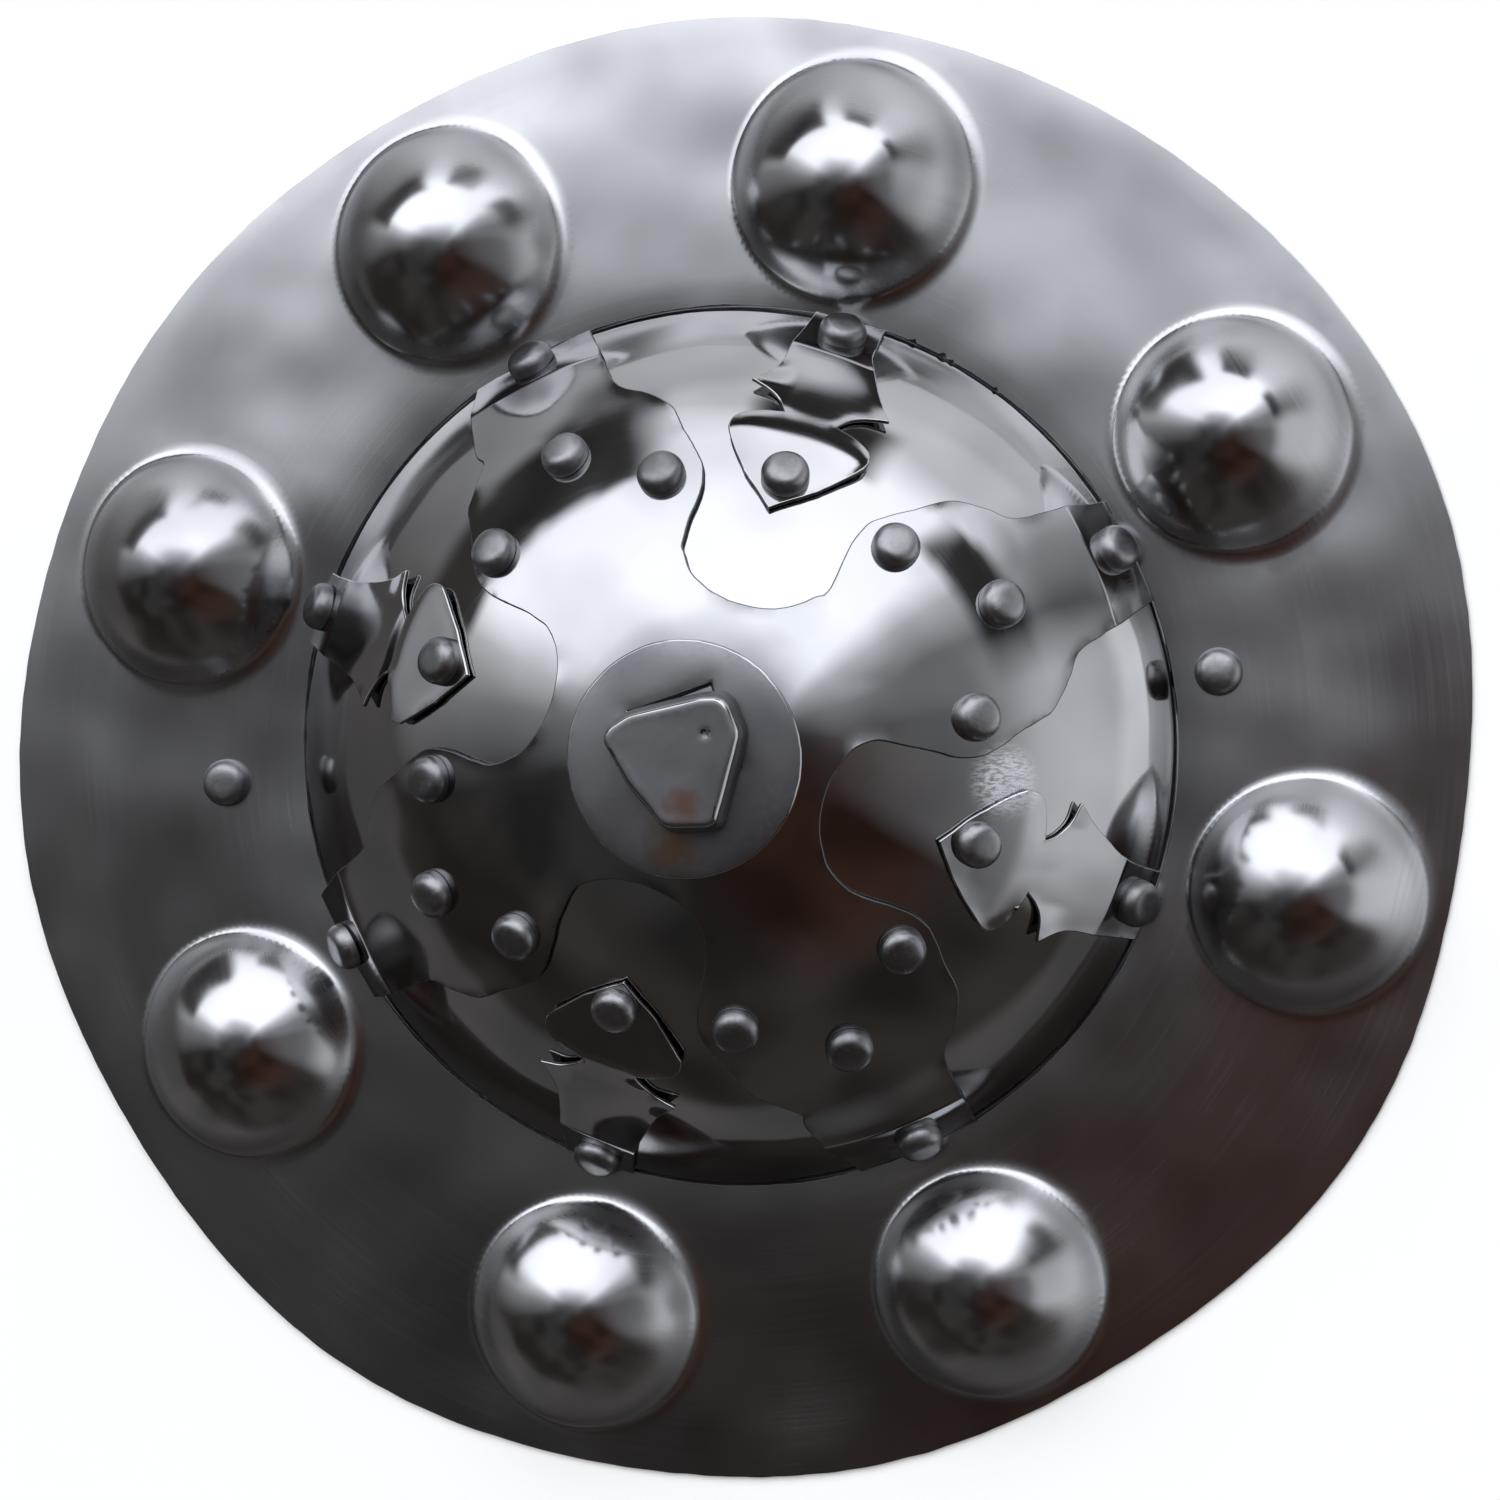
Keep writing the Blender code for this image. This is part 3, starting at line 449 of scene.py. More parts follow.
# Noise hardly leaves the middle of its range, so each pattern begins and is full at two values of it.
CLOUD_RANGE = (0.3, 0.7)
MARK_RANGE = (0.45, 0.75)
STAIN_RANGE = (0.42, 0.72)


def worked_steel(name, colour, tarnish, haze, cloudy, marks, relief, grain=0.0, local=None):
    """Bare steel. haze is the mean roughness, cloudy and marks how much it varies in clouds and in marks.

    The marks run round the axis, or are grains of this many millimetres. relief is their depth in millimetres.
    local is a function that makes a place rougher or smoother, from the tree, the link to places and the roughness.
    """
    made, tree, shader = new_material(name)
    shader.inputs["Metallic"].default_value = 1.0
    here = [("Vector", add(tree, "TexCoord"), "Object")]
    if grain:
        streaks = add(tree, "TexNoise", here, [("Scale", 1 / (grain * MM)), ("Detail", 3.0), ("Roughness", 0.6)])
    else:
        streaks = ring_marks(tree, here)
    clouds = add(tree, "TexNoise", here, [("Scale", 1 / (CLOUD * MM)), ("Detail", 2.0), ("Roughness", 0.62)])
    cloud_part = add(tree, "MapRange", [("Value", clouds, "Fac")],
                     enumerate((*CLOUD_RANGE, haze - cloudy, haze + cloudy), 1))
    mark_part = add(tree, "MapRange", [("Value", streaks, "Fac")], enumerate((*MARK_RANGE, 0.0, marks), 1))
    rough = add(tree, "Math", [(0, cloud_part, 0), (1, mark_part, 0)], operation="ADD", use_clamp=True)
    if local:
        rough = local(tree, here, rough)
    tree.links.new(rough.outputs[0], shader.inputs["Roughness"])
    stain = add(tree, "TexNoise", here, [("Scale", 1 / (STAIN * MM)), ("Detail", 1.0), ("Roughness", 0.65)])
    amount = add(tree, "MapRange", [("Value", stain, "Fac")], enumerate(STAIN_RANGE, 1))
    mixed = add(tree, "Mix", [("Factor", amount, 0)], [("A", colour), ("B", tarnish)], data_type="RGBA")
    tree.links.new(mixed.outputs["Result"], shader.inputs["Base Color"])
    if relief:
        bump = add(tree, "Bump", [("Height", streaks, "Fac")], [("Strength", 1.0), ("Distance", relief * MM)])
        tree.links.new(bump.outputs["Normal"], shader.inputs["Normal"])
    return made


def recoloured(steel, factor, output, colour):
    """Mixes a colour over the steel's own, by a factor from one of its nodes."""
    tree = steel.node_tree
    colour_in = tree.nodes["Principled BSDF"].inputs["Base Color"]
    mixed = add(tree, "Mix", [("Factor", factor, output)], [("B", colour)], data_type="RGBA")
    tree.links.new(colour_in.links[0].from_socket, mixed.inputs["A"])
    tree.links.new(mixed.outputs["Result"], colour_in)


print("clouds and stains in mm", CLOUD, STAIN)

# %% [markdown]
# A buffing wheel reaches the tops of the bosses and not their feet, so the crowns are bright and the flanks hazy.
# A mask could be painted, but height and slope say it all: both come from the surface itself.

# %% Buffed crowns
# The wheel reached from the first of these heights on, and from the second on it left this share of roughness.
BUFFED_HEIGHTS = (12.0, 21.0)
BUFFED_SHARE = 0.7
# How upright a flank's normal is where haze begins and where it is strongest, and how much rougher it is there.
FLANK_SLOPES = (0.80, 0.62)
FLANK_HAZE = 2.1


def buffed_crowns(tree, here, rough):
    """Less roughness high on the bosses, where the buffing wheel reached best, and more on their steep flanks."""
    parts = add(tree, "SeparateXYZ", here)
    low, high = (z * MM for z in BUFFED_HEIGHTS)
    up = add(tree, "MapRange", [("Value", parts, "Z")], enumerate((low, high, 1.0, BUFFED_SHARE), 1),
             interpolation_type="SMOOTHSTEP")
    surface = add(tree, "NewGeometry")
    faces = add(tree, "SeparateXYZ", [(0, surface, "Normal")])
    begin, full = FLANK_SLOPES
    flank = add(tree, "MapRange", [("Value", faces, "Z")], enumerate((begin, full, 1.0, FLANK_HAZE), 1))
    crown = add(tree, "Math", [(0, rough, 0), (1, up, 0)], operation="MULTIPLY")
    return add(tree, "Math", [(0, crown, 0), (1, flank, 0)], operation="MULTIPLY")


print("buffed from", BUFFED_HEIGHTS[0], "mm up")

# %% [markdown]
# Something knocked the cover on the right and left a rough scuff of short slanting streaks, with a pale painted
# highlight where they catch the light.
# It is a round place with soft ends, filled with noise that is stretched across the slant.

# %% Scuff
# Its middle in the frame, how far it reaches, and how strong its pale painted highlight is.
SCUFF_PLACE = (0.0975, -0.0065, 0.0668)
SCUFF_REACH = 14.0
SCUFF_PAINTED_HIGHLIGHT = 2.6
# Out to this share of its reach it's full.
SCUFF_FULL = 0.3
# Its streaks: turn, how many there are to a metre along three axes, values of the noise where they begin
# and are full, and the roughness they add there.
STREAK_TURN = (0.0, 0.0, math.radians(25))
STREAK_SCALE = (260.0, 1500.0, 700.0)
STREAK_RANGE = (0.38, 0.62)
STREAK_HAZE = (0.08, 0.55)


def scuffed(tree, here, rough):
    """More roughness round the place where a cover was knocked, in streaks that slant."""
    away = add(tree, "VectorMath", here, [(1, SCUFF_PLACE)], operation="DISTANCE")
    near = add(tree, "MapRange", [("Value", away, "Value")],
               enumerate((SCUFF_REACH * MM, SCUFF_FULL * SCUFF_REACH * MM), 1),
               interpolation_type="SMOOTHSTEP")
    slant = add(tree, "Mapping", here, [("Rotation", STREAK_TURN), ("Scale", STREAK_SCALE)])
    streaks = add(tree, "TexNoise", [("Vector", slant, 0)], [("Scale", 1.0), ("Detail", 4.0)])
    strength = add(tree, "MapRange", [("Value", streaks, "Fac")], enumerate((*STREAK_RANGE, *STREAK_HAZE), 1))
    extra = add(tree, "Math", [(0, near, 0), (1, strength, 0)], operation="MULTIPLY", name="scuff")
    return add(tree, "Math", [(0, rough, 0), (1, extra, 0)], operation="ADD", use_clamp=True)


print("scuff of", 2 * SCUFF_REACH, "mm")

# %% [markdown]
# Each steel is a line: two tints, roughness with its clouds and marks, and relief.
# They differ as the work on them did, from the mirror of the bowl to the black skin of the bar.

# %% Steels
# Hazy: the plate was only ground and quickly buffed, so it shows light and dark but no picture.
hazy_steel = worked_steel("hazy_buffed_steel", "#B6B6B8", "#A2A2A4", 0.215, 0.04, 0.035, 0.0, local=buffed_crowns)
# Bright: the bowl was buffed last, near a mirror.
bright_steel = worked_steel("bright_buffed_steel", "#B0B0B1", "#A0A0A2", 0.06, 0.02, 0.03, 0.0, local=scuffed)
# The riveted plates are as bright as the bowl, with more handling marks.
cover_steel = worked_steel("bright_cut_steel", "#ABABAD", "#969698", 0.07, 0.025, 0.03, 0.0, local=scuffed)
# The knock roughened both of them, and the scuff's pale colour is a painted highlight of the light its streaks
# catch.
for steel in (bright_steel, cover_steel):
    painted_scuff_highlight = add(steel.node_tree, "Math", [(0, steel.node_tree.nodes["scuff"], 0)], [(1, SCUFF_PAINTED_HIGHLIGHT)],
               operation="MULTIPLY", use_clamp=True)
    recoloured(steel, painted_scuff_highlight, 0, "#F6F8FC")
# Rivets keep the marks of file and hammer, dull and darker, with a grain of about a millimetre and a half.
filed_steel = worked_steel("filed_steel", "#909092", "#747477", 0.36, 0.05, 0.12, 0.06, 1.5)
# Washer and stud were ground on a stone and never buffed: the dullest of the worked faces.
ground_steel = worked_steel("ground_steel", "#88888B", "#66666A", 0.48, 0.08, 0.08, 0.012, 1.6)
# A sheared edge is torn and was never polished, so it's rough; its dark colour is painted shade of the shadowed gap,
# and draws each plate's outline.
edge_shade_steel = worked_steel("painted_shade_edge_steel", "#4E4E50", "#333336", 0.55, 0.08, 0.10, 0.08, 0.9)
# The four-lobed plate's edges were only rubbed with cloth: dull against the bright crown, light in the dark half.
rubbed_steel = worked_steel("rubbed_edge_steel", "#747476", "#565658", 0.42, 0.06, 0.06, 0.0, 1.2)
# The bar was left as the forge gave it, with a dark skin and coarser scale.
forge_steel = worked_steel("forge_black_steel", "#5A5958", "#3A3532", 0.50, 0.08, 0.08, 0.10, 2.4)
print("steels", [m.name for m in bpy.data.materials if m.name.endswith("steel")])

# %% [markdown]
# Below the stud a warm brown is mixed into the washer and the stud's lower end: a painted reflection of the brown
# wall. It only warms the steel's tint, so it is mixed into the colour and the shine stays.

# %% Painted brown reflection
# Each spot's middle in the frame, how far it reaches, and its colour.
BROWN_REFLECTION_SPOTS = ((0.0019, -0.0266, 0.0965, 15.0, "#80684C"), (0.0074, -0.0133, 0.108, 10.0, "#76594D"))
# Its edge is broken up by noise six millimetres wide, so that it isn't a round dot.
BROWN_BLOT = 6.0
# Shares of the reach where the painted brown begins and is full, and how strong it is.
BROWN_EDGE = (1.3, 0.6)
BROWN_STRENGTH = 0.8
tree = ground_steel.node_tree
here = [("Vector", tree.nodes["Texture Coordinate"], "Object")]
blots = add(tree, "TexNoise", here, [("Scale", 1 / (BROWN_BLOT * MM)), ("Detail", 3.0)])
for *middle, reach, painted_brown in BROWN_REFLECTION_SPOTS:
    away = add(tree, "VectorMath", here, [(1, middle)], operation="DISTANCE")
    uneven = add(tree, "Math", [(0, blots, "Fac"), (2, away, "Value")], [(1, reach * MM)], operation="MULTIPLY_ADD")
    near = add(tree, "MapRange", [("Value", uneven, 0)],
               enumerate((BROWN_EDGE[0] * reach * MM, BROWN_EDGE[1] * reach * MM, 0.0, BROWN_STRENGTH), 1),
               interpolation_type="SMOOTHSTEP")
    recoloured(ground_steel, near, 0, painted_brown)
print("rust spots", len(BROWN_REFLECTION_SPOTS))

# %% [markdown]
# ## The plate and its bosses
# A shallow dish with eight hollow balls raised from behind, and a hole for the bowl.
# It could be a subdivided disc with sculpted bumps, but a boss is a profile turned round, so it is worked out:
# a table of slopes says how steep the wall is at each share of the foot's radius, and their sum is the height.
# The smith pulled metal from between the bosses, so the plate has a few broad hollows.

# %% Bosses
# Each boss: share of the band between the bowl and the rim, angle, radius as a share of the band.
BOSSES = (
    (0.494, 121.2, 0.394), (0.455, 78.9, 0.403), (0.484, 32.3, 0.390), (0.492, 345.9, 0.387),
    (0.507, 295.1, 0.384), (0.526, 254.1, 0.390), (0.526, 210.9, 0.382), (0.536, 163.1, 0.387),
)
# Half profile of a boss: share of its foot's radius, and how steep it is there, in degrees.
# The crown is round and the flank nearly a cone. On one side a tight shoulder drops to a crisp foot,
# on the other the foot runs out softly into the plate.
CROWN_SLOPES = ((0.0, 0.0), (0.48, 32.5), (0.70, 38.5), (0.82, 46.0))
CRISP_SLOPES = (*CROWN_SLOPES, (0.90, 57.0), (0.96, 66.0), (1.0, 32.0), (1.03, 0.0))
SOFT_SLOPES = (*CROWN_SLOPES, (0.89, 52.0), (0.95, 44.0), (1.03, 14.0), (1.12, 0.0))
BOSS_REACH = 1.12
# The crisp side faces this angle. By the cosine from there, the foot goes from all soft to all crisp.
CRISP_SIDE = 172.0
CRISP_TURN = (-0.55, 0.75)
PROFILE_STEPS = 513


def boss_table(slopes):
    """Heights of a boss of foot radius 1 at even steps from its middle, summed from its slopes."""
    shares = np.linspace(0.0, BOSS_REACH, PROFILE_STEPS)
    places, degrees = zip(*slopes)
    sines = np.interp(shares, places, np.sin(np.radians(degrees)))
    rises = sines / np.sqrt(1 - sines**2) * (shares[1] - shares[0])
    return shares, np.cumsum(rises[::-1])[::-1] - rises / 2


boss_shares, crisp_heights = boss_table(CRISP_SLOPES)
soft_heights = boss_table(SOFT_SLOPES)[1]
soft_heights = soft_heights * crisp_heights[0] / soft_heights[0]


def boss_height(x, y, foot):
    """Height of a boss above the plate at a place measured from its middle."""
    away = math.hypot(x, y) / foot
    crisp = soft(between(math.cos(math.radians(apart(angle_of(x, y), CRISP_SIDE))), *CRISP_TURN))
    sharp = float(np.interp(away, boss_shares, crisp_heights))
    gentle = float(np.interp(away, boss_shares, soft_heights))
    return foot * (sharp * crisp + gentle * (1 - crisp))


bosses = [(Vector((*polar(FOOT + BAND * share, turn), 0)), BAND * size) for share, turn, size in BOSSES]
print("bosses from", round(min(foot for _, foot in bosses), 1), "mm in radius,",
      round(boss_height(0.0, 0.0, bosses[0][1]), 1), "mm high")

# %% [markdown]
# Between the bosses the dish is uneven, and this is what makes its light and dark cloudy.
# Two sizes of dents, a slow swell and four broad hollows add up to the height at any place.

# %% Beaten plate
# Dents of the plate and of the bosses: width, depth, seed. They fade out near a boss's foot and near the rim.
PLATE_DENTS = ((62.0, 1.25, 1.3), (27.0, 0.45, 5.1))
BOSS_DENT = (13.0, 0.30, 9.4)
CALM_FOOT = 8.0
CALM_RIM = 26.0
# The plate lies this much higher than its even dish, and swells up most a third of the way out.
PLATE_RAISE = 0.14
BAND_SWELL = 0.9 * 6.75
WORN_EDGE = 0.15
WORN_WIDTH = 2.0
# Broad hollows where the plate was beaten: distance from the axis, angle, radius, depth.
HOLLOWS = ((181.0, 57.0, 27.0, 1.0), (161.0, 139.0, 24.0, 0.8), (150.0, 176.0, 22.0, 0.5), (190.0, 318.0, 26.0, 0.7))


def plate_lift(x, y):
    """How far the beaten plate stands off its even dish, without the bosses."""
    spot = Vector((x, y, plate_top(x, y)))
    from_rim = rim_radius(math.atan2(y, x)) - math.hypot(x, y)
    band = 1 - between(from_rim, 0.0, BAND)
    lift = dents(spot, PLATE_DENTS) * soft(between(from_rim, 0.0, CALM_RIM)) + PLATE_RAISE
    for distance, turn, radius, depth in HOLLOWS:
        middle = polar(distance, turn)
        lift -= depth * math.exp(-(((x - middle[0]) ** 2 + (y - middle[1]) ** 2) / radius**2))
    return lift + BAND_SWELL * band * (1 - band) ** 2


def plate_shape(x, y, near):
    spot = Vector((x, y, plate_top(x, y)))
    lift = plate_lift(x, y) - WORN_EDGE * math.exp(-near / WORN_WIDTH)
    for middle, foot in bosses:
        away = math.hypot(x - middle.x, y - middle.y)
        if away < foot * BOSS_REACH:
            lift += boss_height(x - middle.x, y - middle.y, foot)
            lift += dent(spot + Vector((0, 0, away)), *BOSS_DENT) * between(foot - away, 0.0, CALM_FOOT)
    return spot + plate_normal(x, y) * lift


print("lift beside the bowl", round(plate_lift(FOOT, 0.0), 2), "mm")

# %% [markdown]
# The rim was sheared by eye, and the hole was filed until the bowl went through. Both edges wander a little,
# and the hole has a few chips, which show as black specks against the bright bowl.

# %% Rim and hole
HOLE_GAP = 0.8
RIM_COUNT = 720
HOLE_COUNT = 900
# How the rim and the hole wander: depth, how fine, seed. The rim is cut a little short.
RIM_WANDER = (0.25, 30, 2.0)
HOLE_WANDER = ((0.3, 9, 4.0), (0.16, 42, 8.0))
RIM_SHORT = 0.3
# Chips in the hole's edge: angle, depth, half width in degrees.
CHIPS = (
    (66.5, 1.3, 0.45), (62.2, 1.5, 0.5), (60.9, 0.8, 0.35), (54.0, 0.8, 0.3), (121.0, 0.7, 0.3), (233.0, 0.9, 0.4),
)


def wander(x, y, depth, fine, seed):
    return depth * noise.noise(Vector((x * fine, y * fine, seed)))


def plate_outline():
    turns = [2 * math.pi * i / RIM_COUNT for i in range(RIM_COUNT)]
    uneven = [wander(math.cos(a), math.sin(a), *RIM_WANDER) for a in turns]
    return [polar(rim_radius(a) - RIM_SHORT + r, math.degrees(a)) for a, r in zip(turns, uneven)]


def plate_hole():
    """The hole was cut with shears and filed, so its edge wanders and has a few nicks."""
    points = []
    for i in range(HOLE_COUNT):
        degrees = 360 * i / HOLE_COUNT
        x, y = polar(1.0, degrees)
        uneven = sum(wander(x, y, *row) for row in HOLE_WANDER)
        chip = sum(deep * max(0.0, 1 - abs(apart(degrees, place)) / half) for place, deep, half in CHIPS)
        points.append(polar(FOOT + foot_push(degrees) + HOLE_GAP + uneven + chip, degrees))
    return points


rim_line = plate_outline()
hole_line = plate_hole()
print("rim and hole points", len(rim_line), len(hole_line))

# %% [markdown]
# The plate's net is made of rings about the axis, with closer rings of its own on each boss,
# so that its steep flank stays round. Then the net is bent, thickened downward and its edge broken.

# %% Plate
PLATE_EDGE = 0.45
PLATE_SPACING = 4.2
BOSS_SPACING = 2.4
# Rings on a boss, as shares of its foot's radius: start, end, how many. They are closest on the steep wall.
BOSS_RINGS = ((BOSS_REACH, 1.06, 3), (1.03, 0.86, 11), (0.81, 0.06, 14))
# Plate and bowl are a little thinner than their solids, so that their dents stay inside the solids' box.
THINNER = 0.1


def boss_points(middle, foot):
    shares = np.concatenate([np.linspace(*rings) for rings in BOSS_RINGS])
    points = [(middle.x, middle.y)]
    for number, share in enumerate(shares):
        count = max(10, round(2 * math.pi * foot * share / BOSS_SPACING))
        points += ring(foot * share, count, (middle.x, middle.y), number * 0.4)
    return points


plate_points = []
for radius in np.arange(FOOT + 6, RIM_RADIUS + 8, PLATE_SPACING):
    plate_points += ring(radius, round(2 * math.pi * radius / PLATE_SPACING), turn=radius)
plate_points = np.array(plate_points)
for middle, foot in bosses:
    reach = np.hypot(plate_points[:, 0] - middle.x, plate_points[:, 1] - middle.y)
    plate_points = plate_points[reach > foot * BOSS_REACH + 2.0]
plate_points = np.vstack([plate_points, *[boss_points(*boss) for boss in bosses]])
plate_points = fill(rim_line, [hole_line], plate_points, 1.2)
plate = cut_sheet("dished_plate", rim_line, [hole_line], plate_points, plate_shape,
                  hazy_steel, ["shield_plate"])
thicken(plate, PLATE_THICK - THINNER, False, PLATE_EDGE)
print("plate triangles before thickness", len(plate.data.polygons))

# %% [markdown]
# ## The bowl
# The bowl is part of a ball, with a short upright wall in the plate's hole and a flange behind the plate.
# A lathe shape would do, but this foot isn't round, so the rings are built in a loop and pushed out of true.

# %% Bowl
SIDES = 240
# Rings of the ball: how many, where the first lies on the pattern, and the step to the next.
BALL_RINGS = 64
FIRST_RING = 4.0
RING_STEP = 2.5
# The dented face lies this much below the even ball.
BOWL_SUNK = 0.25
BOWL_EDGE = 0.3
FLANGE = 6.0
BEHIND = 0.35
# Rings below the foot: how far outward, and share of the way down to the flange behind the plate.
FOOT_RINGS = ((0.0, 0.0), (0.0, 0.5), (0.3, 0.85), (1.2, 1.0), (FLANGE * 0.5, 1.0), (FLANGE - 0.1, 1.0))


def below_plate(x, y):
    return plate_top(x, y) - (PLATE_THICK + BEHIND) / plate_normal(x, y).z


def bowl_row(arc):
    """One ring of the ball."""
    row = []
    for i in range(SIDES):
        out = on_ball(arc, 360 * i / SIDES)
        row.append(pushed(CENTRE + out * (BALL + bowl_dent(out) - BOWL_SUNK)))
    return row


def foot_row(outward, down):
    """One ring below the foot: this far outward, and this share of the way down behind the plate."""
    row = []
    for i in range(SIDES):
        degrees = 360 * i / SIDES
        x, y = polar(FOOT + foot_push(degrees) + outward, degrees)
        row.append(Vector((x, y, FOOT_Z + (below_plate(x, y) - FOOT_Z) * down)))
    return row


rows = [bowl_row(FIRST_RING + RING_STEP * i) for i in range(BALL_RINGS)]
rows += [foot_row(*place) for place in FOOT_RINGS]
points = [p for row in rows for p in row]
faces = [(a, d, c, b) for a, b, c, d in skin(len(rows), SIDES)]
faces.append(list(range(SIDES)))
bowl = new_piece("raised_bowl", points, faces, bright_steel, ["umbo_bowl"])
thicken(bowl, BOWL_THICK - THINNER, False, BOWL_EDGE)
print("bowl rings", len(rows), "sides", SIDES)

# %% [markdown]
# ## The plates over the bowl
# A thin sheet was cut to a cross with four broad lobes, laid over the crown and bent down to the foot.
# The flat pattern gives half the arm's width at each distance from the crown, and a curve runs smoothly
# through those stations.

# %% Cover pattern
CROSS_ANGLE = 26.55
# Half widths of an arm: distance from the crown on the pattern, and half width there.
ARM_STATIONS = (
    (64.0, 25.5), (70.0, 29.2), (78.0, 34.6), (84.0, 38.0), (90.0, 39.8), (96.0, 39.3), (103.0, 37.6), (109.0, 36.8),
    (114.0, 35.6), (118.5, 32.2), (122.5, 28.0), (126.0, 23.4), (131.0, 21.4), (141.0, 20.0), (152.0, 18.4),
    (163.0, 16.6),
)
ARM_FOOT_EXTRA = ((0.0, 0.0), (-1.5, 8.0), (0.0, 1.5), (7.0, -1.5))
BAY_BOTTOMS = (48.0, 45.0, 41.3, 43.4)
BAY_SIDE_SHIFTS = (1.5, -1.5, 0.0, 3.0)
BAY_DEPTH = 15.0
BAY_HALF_WIDTH = 22.8
# The extra widths at an arm's foot come in between these distances from the crown.
FOOT_BEGINS = (120.0, 134.0)


def side_angle(arc, width):
    return math.degrees(width / (BALL * math.sin(lean_of(arc))))


def arm_side(arm, side):
    extra = ARM_FOOT_EXTRA[arm][(side + 1) // 2]
    points = []
    for arc, half in ARM_STATIONS:
        width = half + extra * soft(between(arc, *FOOT_BEGINS))
        points.append(polar(arc, CROSS_ANGLE + 90 * arm + side * side_angle(arc, width)))
    return points


def bay_curve(bay):
    middle = CROSS_ANGLE + 45 + 90 * bay
    points = []
    for i in range(1, 8):
        swing = math.pi * i / 8
        along = BAY_BOTTOMS[bay] + BAY_DEPTH * (1 - math.sin(swing))
        side = BAY_SIDE_SHIFTS[bay] * math.sin(swing) - BAY_HALF_WIDTH * math.cos(swing)
        points.append(polar(math.hypot(along, side), middle + angle_of(along, side)))
    return points


print("pattern stations of an arm", len(ARM_STATIONS))

# %% [markdown]
# Hand shears leave an edge that wanders a little, at two sizes. Vector noise moves the outline's points.
# It takes its offset from the clock unless a seed is set. With one, every run cuts the same edges.

# %% Cut edges
# Widths of the slow and the fine wander, and how deep the fine one is beside the slow one.
SLOW_WANDER = 7.0
FINE_WANDER = 2.2
FINE_SHARE = 0.35
noise.seed_set(1)


def ragged(loop, size, seed):
    """Moves a cut edge in and out a little, as hand shears do."""
    moved = []
    for x, y in loop:
        slow = Vector((x / SLOW_WANDER, y / SLOW_WANDER, seed))
        fine = Vector((x / FINE_WANDER, y / FINE_WANDER, seed + 5))
        shift = noise.noise_vector(slow) * size + noise.noise_vector(fine) * size * FINE_SHARE
        moved.append((x + shift.x, y + shift.y))
    return moved


print("first cut point", ragged([(50.0, 0.0)], 0.35, 2.0)[0])

# %% [markdown]
# Each arm's end was beaten flat round its rivet. That leaves a crease above the rivet, and it is there
# that the light breaks, so the sheet gets extra points on both sides of it.

# %% Rivets' places and beaten feet
HEAD_RADIUS = 7.4
HEAD_HEIGHT = 5.6
# Rivets: distance from the crown on the pattern, and angle. At the foot also how far the end stands off.
LOBE_RIVETS = (
    (89.3, 46.2), (107.0, 26.6), (88.2, 7.6), (91.5, 136.9), (105.9, 116.4), (87.5, 98.2),
    (81.6, 224.6), (100.3, 207.3), (86.9, 185.9), (88.3, 316.3), (105.5, 296.0), (86.9, 277.4),
)
HEART_RIVETS = ((91.0, 73.0), (88.1, 161.3), (84.3, 251.4), (92.1, 342.4))
ARM_FEET = ((155.5, 27.3, 0.0), (156.5, 118.5, 0.0), (157.9, 206.9, 1.8), (156.0, 295.7, 0.3))
STRAP_FEET = ((152.8, 74.9, 0.0), (157.9, 162.0, 0.8), (156.0, 251.1, 0.0), (155.5, 339.6, 0.0))
CREASE_ABOVE = 11.5
CREASE_SLANT = 0.1
CREASE_HEIGHT = 1.5
# Above the crease the cover comes back to the ball over this distance.
CREASE_FADE = 9.0
# No foot is wider than this on one side of its rivet.
FOOT_HALF = 40.0
# Below the crease the sheet sags by the first depth, and round the rivet by the second, out to this radius.
SAG = (0.2, 0.3)
SAG_RADIUS = 8.5
# Points along a crease: half its length, the step, and the rows beside it.
CREASE_HALF = 30.0
CREASE_STEP = 1.2
CREASE_ROWS = (-0.7, 0.0, 0.7)


def beaten(out, feet):
    """How far a cover stands off the ball near its feet: up to a sharp crease, then straight down to the rivet."""
    arc = arc_of(math.acos(out.z))
    degrees = angle_of(out.x, out.y)
    for rivet_arc, rivet_angle, lift in feet:
        sideways = math.radians(apart(degrees, rivet_angle)) * BALL * math.sin(lean_of(arc))
        if abs(sideways) > FOOT_HALF:
            continue
        past = arc - (rivet_arc - CREASE_ABOVE) - CREASE_SLANT * sideways
        crease = CREASE_HEIGHT + lift * 0.5
        if past < 0:
            return crease * math.exp(past / CREASE_FADE)
        down = between(past, 0.0, CREASE_ABOVE)
        round_rivet = out.angle(on_ball(rivet_arc, rivet_angle)) * BALL
        hollow = SAG[0] * math.sin(math.pi * down) + SAG[1] * math.exp(-((round_rivet / SAG_RADIUS) ** 2))
        return crease * (1 - down) + lift * down - hollow * down
    return 0.0


def crease_points(feet, outline):
    """Points on each foot's crease and just beside it, so that the bent sheet keeps it sharp."""
    points = []
    for rivet_arc, rivet_angle, _ in feet:
        for sideways in np.arange(-CREASE_HALF, CREASE_HALF, CREASE_STEP):
            for beside in CREASE_ROWS:
                arc = rivet_arc - CREASE_ABOVE + CREASE_SLANT * sideways + beside
                points.append(polar(arc, rivet_angle + side_angle(arc, sideways)))
    return fill(outline, [], np.array(points), 0.5)


print("rivets on the covers", len(LOBE_RIVETS) + len(HEART_RIVETS) + len(ARM_FEET) + len(STRAP_FEET))

# %% [markdown]
# A cover follows the bowl's dents, has dents of its own, and its sheared edge curls up by a hair.

# %% Covers on the bowl
# A cover lies this far off the ball, sunk like the bowl's face by a little, and never nearer than the last.
COVER_GAP = 0.3
COVER_SUNK = 0.15
COVER_LEAST = 0.12
CURL = 0.3
CURL_REACH = 1.8
# Dents of the covers, and of their curled edge: width and depth.
COVER_DENT = (16.0, 0.16)
CURL_DENT = (11.0, 1.0)


